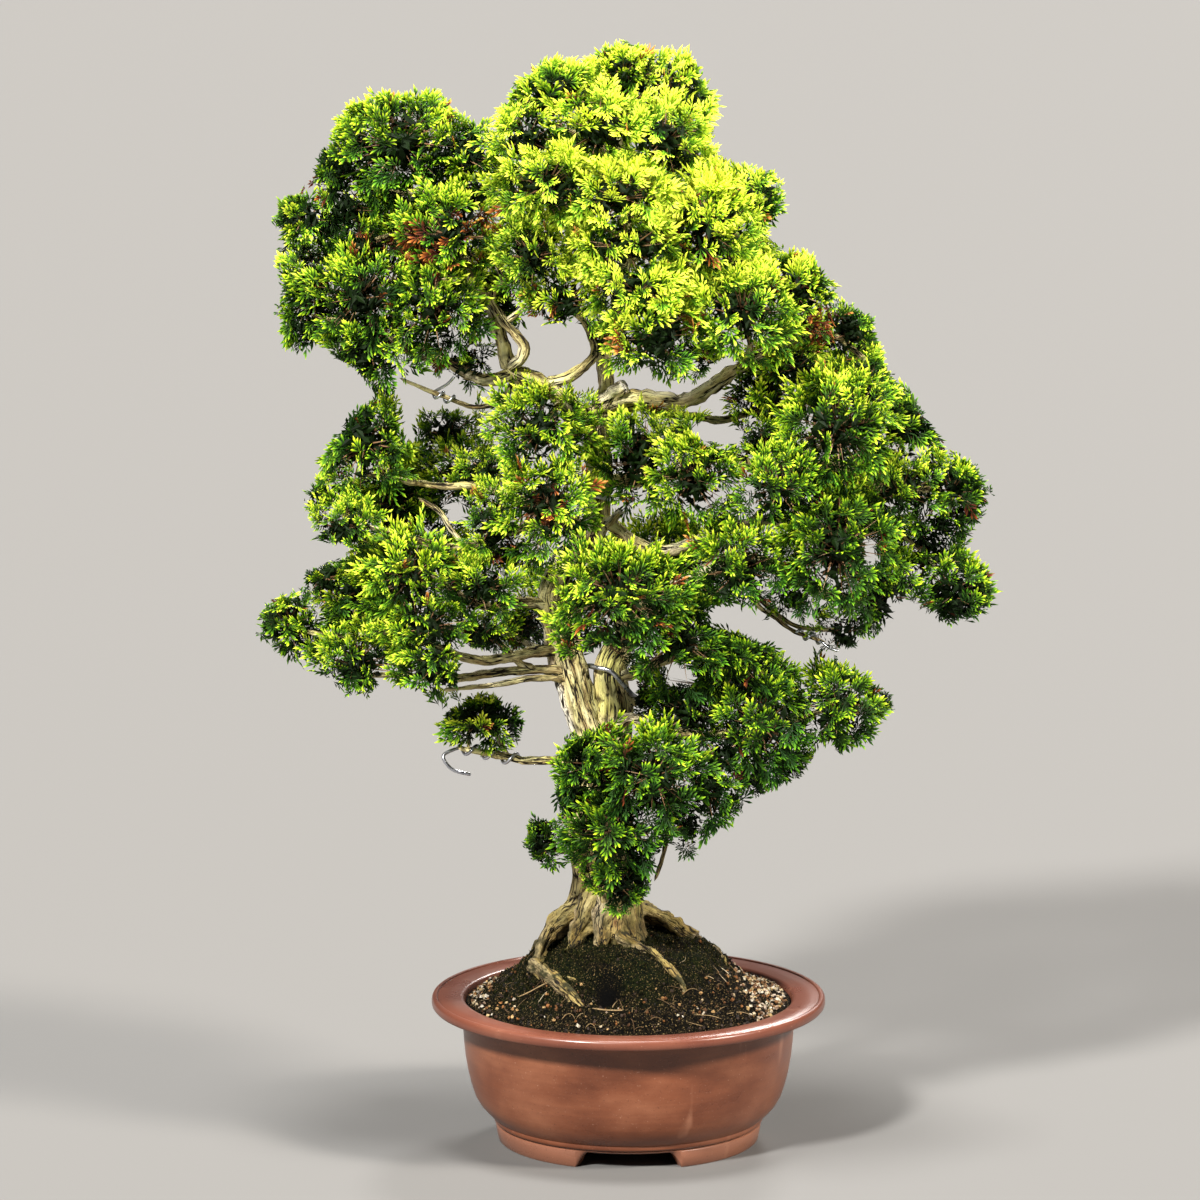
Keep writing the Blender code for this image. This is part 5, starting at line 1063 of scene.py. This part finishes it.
def sprigs_on(draw, sprays, centres):
    """The sprigs of every spray, moved in where they would leave the canopy's outline.

    Gives for each sprig its clump, its root and its three square directions, the first as
    long as the sprig.
    """
    of, root, grow, face, size = sprays
    beside = np.cross(face, grow)
    table = np.array(SPRAY_SPRIGS)
    shape = (len(of), len(table))
    turn = np.radians(table[:, 1]) + draw.normal(0, 0.16, shape)
    scale = table[:, 2] * size[:, None] * draw.uniform(0.88, 1.12, shape) * SPRIG_LENGTH * MM
    start = root[:, None] + grow[:, None] * (table[:, 0] * size[:, None] * SPRIG_LENGTH * MM)[..., None]
    way = grow[:, None] * np.cos(turn)[..., None] + beside[:, None] * np.sin(turn)[..., None]
    way = unit(way + face[:, None] * draw.normal(0.08, 0.22, (*shape, 1)))
    across = np.cross(np.broadcast_to(face[:, None], way.shape), way) + draw.normal(0, 0.2, way.shape)
    across = unit(across - way * (across * way).sum(-1, keepdims=True))
    frames = np.stack([way, across, np.cross(way, across)], 2) * scale[..., None, None]
    of = np.repeat(of, len(table))
    start, frames = start.reshape(-1, 3), frames.reshape(-1, 3, 3)
    start, fits = drawn_in(start, frames[:, 0], centres[of])
    return of[fits], start[fits], frames[fits]


def dryness(tips, draw):
    """1 for most sprigs within a dry spot, as seen from the front, and for one in seventy others."""
    spots = np.array(DRY_SPOTS, float) * MM
    away = np.linalg.norm(seen_from_front(tips)[:, None] - spots[:, :2], axis=-1)
    near = (away < spots[:, 2]).any(1) & (draw.random(len(tips)) < 0.7) & (tips[:, 1] < 0.02)
    return (near | (draw.random(len(tips)) < 0.014)).astype(float)


def leaf_marks(tone, tint, dry=0.0, stalk=0.0):
    """What the leaf material reads: a tone for each point, and the rest for each sprig or leaf."""
    return {"tone": tone, "tint": tint, "dry": dry + 0 * tint, "stalk": stalk + 0 * tint}


def make_foliage(look):
    """Pads of sprays on their stalks round dark inner leaves, as one piece for each pad.

    A point's tone grows along its sprig, and with its distance out of the nearest clump's middle,
    which is painted shade inside the clump. Painted light makes it greater on the side of the clump
    that the light comes from, higher up, and in the lit spots, and painted shade lowers it in the dark spots.
    """
    draw = chance("sprays")
    pads, centres, halves = clump_table()
    sprays = spray_places(draw, centres, halves)
    of, start, frames = sprigs_on(draw, sprays, centres)
    tips = start + frames[:, 0]
    depth_root = deepness(start, centres, halves)
    depth_tip = deepness(tips, centres, halves)
    # Painted light and shade: the tone is raised on each clump's side toward LIT_WAY, higher up and in the
    # bright LIT_SPOTS, and lowered in the dark ones
    lit = np.clip(((tips - centres[of]) / halves[of]) @ np.array(LIT_WAY), -1, 1)
    glow = sum(gain * np.exp(-((tips[:, 0] - x) ** 2 + (tips[:, 2] - z) ** 2) / reach ** 2)
               for x, z, reach, gain in LIT_SPOTS)
    light = 0.78 + 0.24 * lit + 0.2 * step_up(0.3, 0.75, tips[:, 2]) + glow + draw.normal(0, 0.09, len(of))
    lowest = 0.02 + 0.4 * np.maximum(glow, 0)
    # The tint leans to the cooler green on the side away from the light, as painted shade, with ripples and
    # noise by chance
    tint = 0.4 - 0.3 * lit + 0.25 * ripples(tips, 0.07, "tint") + draw.normal(0, 0.2, len(of))
    tint = np.clip(tint, 0, 1)
    dry = dryness(tips, draw)
    shapes = [sprig_shape(chance(f"sprig{k}")) for k in range(SPRIG_SHAPES)]
    kind = draw.integers(0, SPRIG_SHAPES, len(of))
    for number, name in enumerate(FOLIAGE):
        parts = [inner_leaves(name, centres[pads == number], halves[pads == number]),
                 stalks(name, centres, [values[pads[sprays[0]] == number] for values in sprays])]
        for k, (shape, faces, share) in enumerate(shapes):
            mine = np.flatnonzero((pads[of] == number) & (kind == k))
            if len(mine):
                depth = depth_root[mine][:, None] * (1 - share) + depth_tip[mine][:, None] * share
                # Painted shade: the tone drops toward each clump's middle, where the sprigs stand in shade
                clear_of_painted_shade = step_up(0.55, 1.15, depth)
                rise = share ** 1.15 * (0.34 + 0.66 * clear_of_painted_shade)
                tone = light[mine][:, None] * (lowest[mine][:, None] * clear_of_painted_shade + rise)
                marks = leaf_marks(tone, tint[mine], dry[mine])
                parts.append(copies(shape, faces, start[mine], frames[mine], marks))
        piece("sprays_" + name, *gathered(parts), look, "foliage", ["foliage_" + name], smooth=False)


def inner_leaves(name, centres, halves):
    """Broad dark kites inside each clump, which fill its middle with shade.

    They lie across the way out of the clump, tilted by chance, and are smaller the further out they stand.
    """
    draw = chance(name + "inner")
    centres, halves = np.repeat(centres, INNER_LEAVES, 0), np.repeat(halves, INNER_LEAVES, 0)
    way = unit(draw.normal(size=centres.shape))
    out = draw.uniform(0.25, 0.84, len(way))
    places = centres + way * halves * out[:, None]
    kept = in_canopy(places) & in_canopy(places + 0.15 * way * halves)
    way, out, places, reach = way[kept], out[kept], places[kept], halves[kept].mean(-1)
    count = len(places)
    facing = unit(way + draw.normal(0, 0.35, (count, 3)))
    along = unit(np.cross(facing, draw.normal(size=(count, 3))))
    size = reach * (0.62 - 0.4 * out) * draw.uniform(0.85, 1.15, count)
    frames = np.stack([along, np.cross(facing, along), facing], 1) * size[:, None, None]
    shape = np.array([(-0.5, 0, 0.05), (0.1, -0.2, -0.05), (0.1, 0.2, -0.05), (0.5, 0, 0.05)])
    # Near-black tones: the kites are painted shade in the clump's middle
    tone = draw.uniform(0.01, 0.12, (count, 1)) * (0.2, 0.6, 0.6, 1.0)
    return copies(shape, KITE_FACES, places, frames, leaf_marks(tone, 0.3 * draw.random(count)))


def stalks(name, centres, sprays):
    """A thin three-sided spike from inside the clump to the middle of each of its sprays."""
    draw = chance(name + "stalks")
    of, root, grow, face, size = sprays
    inner = centres[of] + (root - centres[of]) * draw.uniform(0.1, 0.4, (len(of), 1))
    span = root + grow * (0.3 * size * SPRIG_LENGTH * MM)[:, None] - inner
    kept = in_canopy(inner + 1.25 * span)
    inner, span, face = inner[kept], span[kept], face[kept]
    across = unit(np.cross(span, face))
    count = len(span)
    thick = draw.uniform(0.7, 1.2, (count, 1)) * MM
    frames = np.stack([span, across * thick, unit(np.cross(span, across)) * thick], 1)
    shape = np.array([(0, 1, 0), (0, -0.5, 0.87), (0, -0.5, -0.87), (1, 0, 0)])
    tone = draw.uniform(0.1, 0.9, (count, 1)) * (0.5, 0.5, 0.5, 1.0)
    return copies(shape, SPIKE_FACES, inner, frames, leaf_marks(tone, draw.random(count), stalk=1.0))


# Pot

def cutout_height(turn):
    """How high the foot is open at each turn: a flat top whose sides come down as a quarter sine wave."""
    opened = np.zeros_like(turn)
    for middle in CUTOUTS:
        aside = np.abs(FOOT_RADIUS * np.sin(turn - math.radians(middle)))
        ahead = np.cos(turn - math.radians(middle)) > 0
        slope = np.clip((CUTOUT_HALF - aside) / CUTOUT_CORNER, 0, 1)
        opened = np.maximum(opened, np.where(ahead, CUTOUT_HEIGHT * np.sin(slope * TURN / 4), 0))
    return opened


def pot_turns():
    """Turns of the pot's columns: evenly spaced, with closer ones at the cut-outs' sides."""
    turns = [np.linspace(0, TURN, POT_COLUMNS, endpoint=False)]
    corner = math.asin(CUTOUT_HALF / FOOT_RADIUS)
    near = np.linspace(0, CUTOUT_CORNER / FOOT_RADIUS * 1.1, 9)
    for middle in np.radians(CUTOUTS):
        turns += [middle + corner - near, middle - corner + near]
    return np.unique(np.round(np.mod(np.concatenate(turns), TURN), 6))


def make_pot(look):
    """The pot: its profile turned round the axis, with the foot squeezed up where it is cut away."""
    profile = np.array(FOOT_OUTSIDE + GROOVE + BEAD + WALL_OUTSIDE + LIP + WALL_INSIDE + POT_FLOOR, float)
    turn = pot_turns()
    radius, height = profile[:, :1], profile[:, 1:]
    opened = cutout_height(turn)[None]
    foot = (radius > FOOT_INNER_RADIUS - 1) & (height < FOOT_HEIGHT - 0.8)
    height = np.where(foot, opened + height * (FOOT_HEIGHT - opened) / FOOT_HEIGHT, height)
    wobble = 0.15 * np.sin(2 * turn + 0.7) * (height > 30)
    points = (turned(radius + wobble, height, turn) * MM).reshape(-1, 3)
    faces = outward(points, skin(len(profile), len(turn), joined=True))
    made = piece("pot_body", points, faces, {}, look, "pot_clay", ["pot"])
    made.data.set_sharp_from_angle(angle=POT_SHARP_EDGE)


# Soil, moss and what lies on it

def away_from(x, y, middle):
    """The level distance from a middle."""
    return np.hypot(x - middle[0], y - middle[1])


def mound_height(x, y):
    """The mound's height in millimetres: a profile round its own centre, low hummocks and a hollow."""
    distances, heights = np.array(MOUND, float).T
    hummock = np.sin(x / 13 + 1) * np.cos(y / 11) + 0.6 * np.sin((x + y) / 7)
    height = np.interp(away_from(x, y, MOUND_CENTRE), distances, heights) + 2.2 * hummock
    height = height - HOLLOW_DEPTH * in_hollow(x, y)
    edge = step_up(SOIL_RADIUS - 14, SOIL_RADIUS, np.hypot(x, y))
    return height * (1 - edge) + SOIL_EDGE * edge


def in_hollow(x, y):
    """1 in the middle of the hollow and 0 outside it: a bell with a flat top and steep sides."""
    return np.exp(-(away_from(x, y, HOLLOW_PLACE) / HOLLOW_RADIUS) ** 4)


def moss_share(x, y):
    """Where moss grows: on the mound but for its hollow, thinning out toward its foot and the right side."""
    thinned = step_up(92, 122, away_from(x, y, MOUND_CENTRE) + 0.15 * x)
    return (1 - thinned) * (1 - in_hollow(x, y))


def pumice_share(x, y):
    """Pale pumice lies mostly on the right, and a little on the left edge."""
    away = np.hypot(x, y)
    right = step_up(78, 112, x - 0.25 * np.abs(y))
    left = step_up(118, 132, -x) * 0.5
    return np.clip(right + left, 0, 1) * (away > 96) * 0.8 + 0.03 * (away > 118)


def lava_share(x, y):
    """Dark lava lies all round the mound's foot, and hardly on the mound."""
    return 0.9 * (away_from(x, y, MOUND_CENTRE) > 92) + 0.03


def thread_share(x, y):
    """Dry threads lie mostly outside the mound, and a few on it."""
    return 0.1 + 0.9 * (np.hypot(x, y + 20) > 88)


def make_soil(look):
    """The soil: rings from the middle outwards at the mound's height with fine grit, down the pot's wall."""
    radii = np.concatenate([np.linspace(1.2, 100, 50), np.linspace(102, SOIL_RADIUS, 28)])
    turn = turns_round(SOIL_COLUMNS)
    x, y = radii[:, None] * np.cos(turn), radii[:, None] * np.sin(turn)
    flat = np.stack([x, y], -1)
    calm = 1 - step_up(SOIL_RADIUS - 4, SOIL_RADIUS, radii)[:, None]
    grit = (1.2 * ripples(flat, 4.5, "grit") + 1.5 * ripples(flat, 12.0, "tufts")) * calm
    top = np.stack([x, y, mound_height(x, y) + grit], -1)
    below = np.array(SOIL_WALL, float)
    wall = turned(below[:, :1], below[:, 1:], turn)
    points, faces = closed_shell(np.concatenate([top, wall]) * MM)
    plain = np.zeros(wall.shape[:2])
    # The hollow mark is where the soil's material paints black shade
    marks = {"moss": with_ends(np.concatenate([moss_share(x, y), plain])),
             "hollow": with_ends(np.concatenate([in_hollow(x, y), plain]))}
    piece("soil_mound", points, faces, marks, look, "mossy_soil", ["soil"])


def scattered(draw, count, allow):
    """Places on the soil in mm: drawn evenly, kept by a share from 0 to 1, and none in the hollow."""
    radius = (SOIL_RADIUS - 4) * np.sqrt(draw.random(count * 12))
    turn = draw.uniform(0, TURN, len(radius))
    x, y = radius * np.cos(turn), radius * np.sin(turn)
    kept = np.flatnonzero(draw.random(len(x)) < allow(x, y) * (1 - in_hollow(x, y)))[:count]
    x, y = x[kept], y[kept]
    return np.stack([x, y, mound_height(x, y)], -1)


def random_frames(draw, count):
    """Three square directions for each place, from a drawn pair."""
    first = unit(draw.normal(size=(count, 3)))
    second = unit(np.cross(first, draw.normal(size=(count, 3))))
    return np.stack([first, second, np.cross(first, second)], 1)


def grain_shape(draw):
    """A chip of stone: two rings of five points round an axis, unevenly drawn in, with two ends."""
    tilt = np.radians([58, 122])[:, None]
    turn = turns_round(5)[None] + np.array([[0.0], [0.6]])
    grid = turned(np.sin(tilt), np.cos(tilt), turn)
    return closed_shell(grid * draw.uniform(0.65, 1.2, (2, 5, 1)))


def make_grains(name, count, sizes, allow, look):
    """Grains partly sunk into the soil, each turned and sized by chance, in four shapes."""
    draw = chance(name)
    shapes = []
    for _kind in range(4):
        places = scattered(draw, count // 4, allow)
        size = draw.uniform(*sizes, len(places))
        places[:, 2] += size * draw.uniform(0.1, 0.6, len(places))
        frames = random_frames(draw, len(places))
        frames = frames * (size[:, None] * draw.uniform(0.65, 1.0, (len(places), 3)))[..., None]
        shape, faces = grain_shape(draw)
        shapes.append(copies(shape, faces, places * MM, frames * MM, {"tint": draw.random(len(places))}))
    piece(name, *gathered(shapes), look, "mossy_soil", smooth=False)


def make_moss(look):
    """Moss: short three-sided strands that lean by chance, thickest on the mound."""
    draw = chance("moss")
    places = scattered(draw, MOSS_STRANDS, lambda x, y: moss_share(x, y) * 0.9 + 0.02)
    count = len(places)
    up = unit(draw.normal(0, 0.55, (count, 3)) + (0, 0, 1))
    side = unit(np.cross(up, draw.normal(size=(count, 3))))
    height, width = draw.uniform(1.6, 4.2, (2, count, 1)) * np.array([1.0, 0.22])[:, None, None]
    frames = np.stack([side * width, np.cross(up, side) * width, up * height], 1) * MM
    shape = np.array([(1, 0, -0.3), (-0.5, 0.87, -0.3), (-0.5, -0.87, -0.3), (0, 0, 1)])
    tone = np.array([0, 0, 0, 1.0]) * draw.uniform(0.3, 1.0, (count, 1))
    marks = {"tone": tone, "tint": draw.random(count) ** 2.5}
    strands = copies(shape, SPIKE_FACES, places * MM, frames, marks)
    piece("moss_strands", *strands, look, "mossy_soil", smooth=False)


def dry_thread(draw, start):
    """A thin thread, evenly bent and arched a little over the soil; none where it would reach the pot."""
    heading, bend, size = draw.uniform(0, TURN), draw.normal(0, 0.5), draw.uniform(7, 24)
    share = np.linspace(0, 1, THREAD_POINTS)
    turn = heading + bend * share * 2
    x = start[0] + np.cumsum(np.cos(turn)) * size / THREAD_POINTS
    y = start[1] + np.cumsum(np.sin(turn)) * size / THREAD_POINTS
    if np.hypot(x, y).max() >= SOIL_RADIUS - 3:
        return []
    z = mound_height(x, y) + 1.1 + 2.2 * draw.random() * np.sin(math.pi * share)
    thick = draw.uniform(0.22, 0.5) * (1 - 0.6 * share)
    return [plain_tube(np.stack([x, y, z, thick], -1), 4, size / 8, draw.random())]


def fallen_stick(x, y, heading, size, thick):
    """A straight stick that lies nearly level, touching the soil where it is highest."""
    along = np.linspace(0, size, STICK_POINTS)
    x = x + along * math.cos(math.radians(heading))
    y = y + along * math.sin(math.radians(heading))
    height = mound_height(x, y).max() * 0.4 + mound_height(x, y) * 0.6 + 0.8
    return plain_tube(np.stack([x, y, height, np.full(STICK_POINTS, thick)], -1), 6, 3.0, 0.62)


def make_threads(look):
    """Fine dry roots and stalks that lie on the soil, and the fallen sticks."""
    draw = chance("hairs")
    shapes = []
    for start in scattered(draw, DRY_THREADS, thread_share):
        shapes += dry_thread(draw, start)
    shapes += [fallen_stick(*stick) for stick in FALLEN_STICKS]
    piece("dry_threads", *gathered(shapes), look, "mossy_soil")


# Wires

def coil_line(stem, start, end, turns, radius, tail):
    """A helix round a limb or twig, just clear of its bark, that ends in a free tail."""
    line = smoothed(LIMBS.get(stem) or TWIGS[stem], 1.0) / MM
    distance = distance_along(line[:, :3])
    at = np.linspace(start, end, turns * COIL_POINTS + 1) * distance[-1]
    centre = np.stack([np.interp(at, distance, line[:, k]) for k in range(4)], -1)
    way = unit(np.gradient(centre[:, :3], axis=0))
    side = unit(np.cross(way, (0, 0, 1)))
    up = np.cross(side, way)
    turn = (TURN * turns * np.linspace(0, 1, len(at)))[:, None]
    reach = centre[:, 3:] + 0.8 * radius + 0.3
    helix = centre[:, :3] + side * np.cos(turn) * reach + up * np.sin(turn) * reach
    points = np.concatenate([helix, tail])
    return np.column_stack([points, np.full(len(points), radius)])


def make_wires(look):
    """Training wires as round tubes along their routes, and short ends wound on the twigs."""
    for name, (radius, points) in WIRES.items():
        line = np.array([(*point, radius) for point in points])
        piece("bent_" + name, *plain_tube(line, 14, WIRE_STEP), look, "training_wire", [name])
    for name, coil in WIRE_COILS.items():
        tube = plain_tube(coil_line(**coil), 12, WIRE_STEP)
        piece("coiled_" + name, *tube, look, "training_wire", [name])
    ends = [plain_tube(coil_line(**coil), 10, WIRE_STEP) for coil in WOUND_ENDS]
    piece("wound_wire_ends", *gathered(ends), look, "training_wire")


# Stage, light and camera

def make_stage():
    """A pale floor: one wide disc, so that it fills the view from every side."""
    turn = turns_round(FLOOR_SIDES)
    rim = turned(FLOOR_RADIUS, 0.0, turn)
    mesh = bpy.data.meshes.new("studio_floor")
    mesh.from_pydata(rim.tolist(), [], [list(range(len(turn)))])
    look, tree, shader = new_look("pale_floor")
    surface(tree, shader, FLOOR_COLOUR, 0.9)
    mesh.materials.append(look)
    made = bpy.data.objects.new("studio_floor", mesh)
    bpy.context.scene.collection.objects.link(made)


def add_lamp(name, way, softness, power, colour):
    """A far lamp that shines along a way; its softness is its width in the sky, in degrees."""
    lamp = bpy.data.lights.new(name, "SUN")
    lamp.angle = math.radians(softness)
    lamp.energy = power
    lamp.color = colour
    made = bpy.data.objects.new(name, lamp)
    made.rotation_euler = Vector(way).to_track_quat("-Z", "Y").to_euler()
    bpy.context.scene.collection.objects.link(made)


def make_light_and_camera():
    """Four far lamps, an even pale sky and the camera at the photograph's viewpoint."""
    scene = bpy.context.scene
    for name, lamp in LAMPS.items():
        add_lamp(name, *lamp)
    world = bpy.data.worlds.new("studio")
    world.use_nodes = True
    sky = world.node_tree.nodes["Background"]
    sky.inputs["Color"].default_value = (*SKY_COLOUR, 1.0)
    sky.inputs["Strength"].default_value = SKY_STRENGTH
    scene.world = world
    camera = bpy.data.objects.new("camera", bpy.data.cameras.new("camera"))
    camera.data.lens = CAMERA_LENS
    camera.data.sensor_width = 36.0
    camera.location = CAMERA_PLACE
    camera.rotation_euler = (CAMERA_PITCH, 0.0, 0.0)
    scene.collection.objects.link(camera)
    scene.camera = camera
    scene.view_settings.view_transform = "Standard"


def dress():
    """Makes every piece; the drain screen and its clip keep their solids and get a finer material."""
    make_light_and_camera()
    make_stage()
    make_pot(clay_look())
    make_soil(soil_look())
    make_moss(moss_look())
    pumice = grain_look("pumice", PUMICE_COLOURS)
    lava = grain_look("lava", LAVA_COLOURS)
    threads = grain_look("dry_threads", THREAD_COLOURS)
    make_grains("pumice_grains", PUMICE_GRAINS, PUMICE_SIZES, pumice_share, pumice)
    make_grains("lava_grains", LAVA_GRAINS, LAVA_SIZES, lava_share, lava)
    make_threads(threads)
    make_wood(bark_look())
    wire = wire_look()
    make_wires(wire)
    make_foliage(leaf_look())
    for name, look in (("drain_screen", plastic_look()), ("screen_clip", wire)):
        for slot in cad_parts[name].material_slots:
            slot.material = look


dress()
bpy.context.view_layer.update()
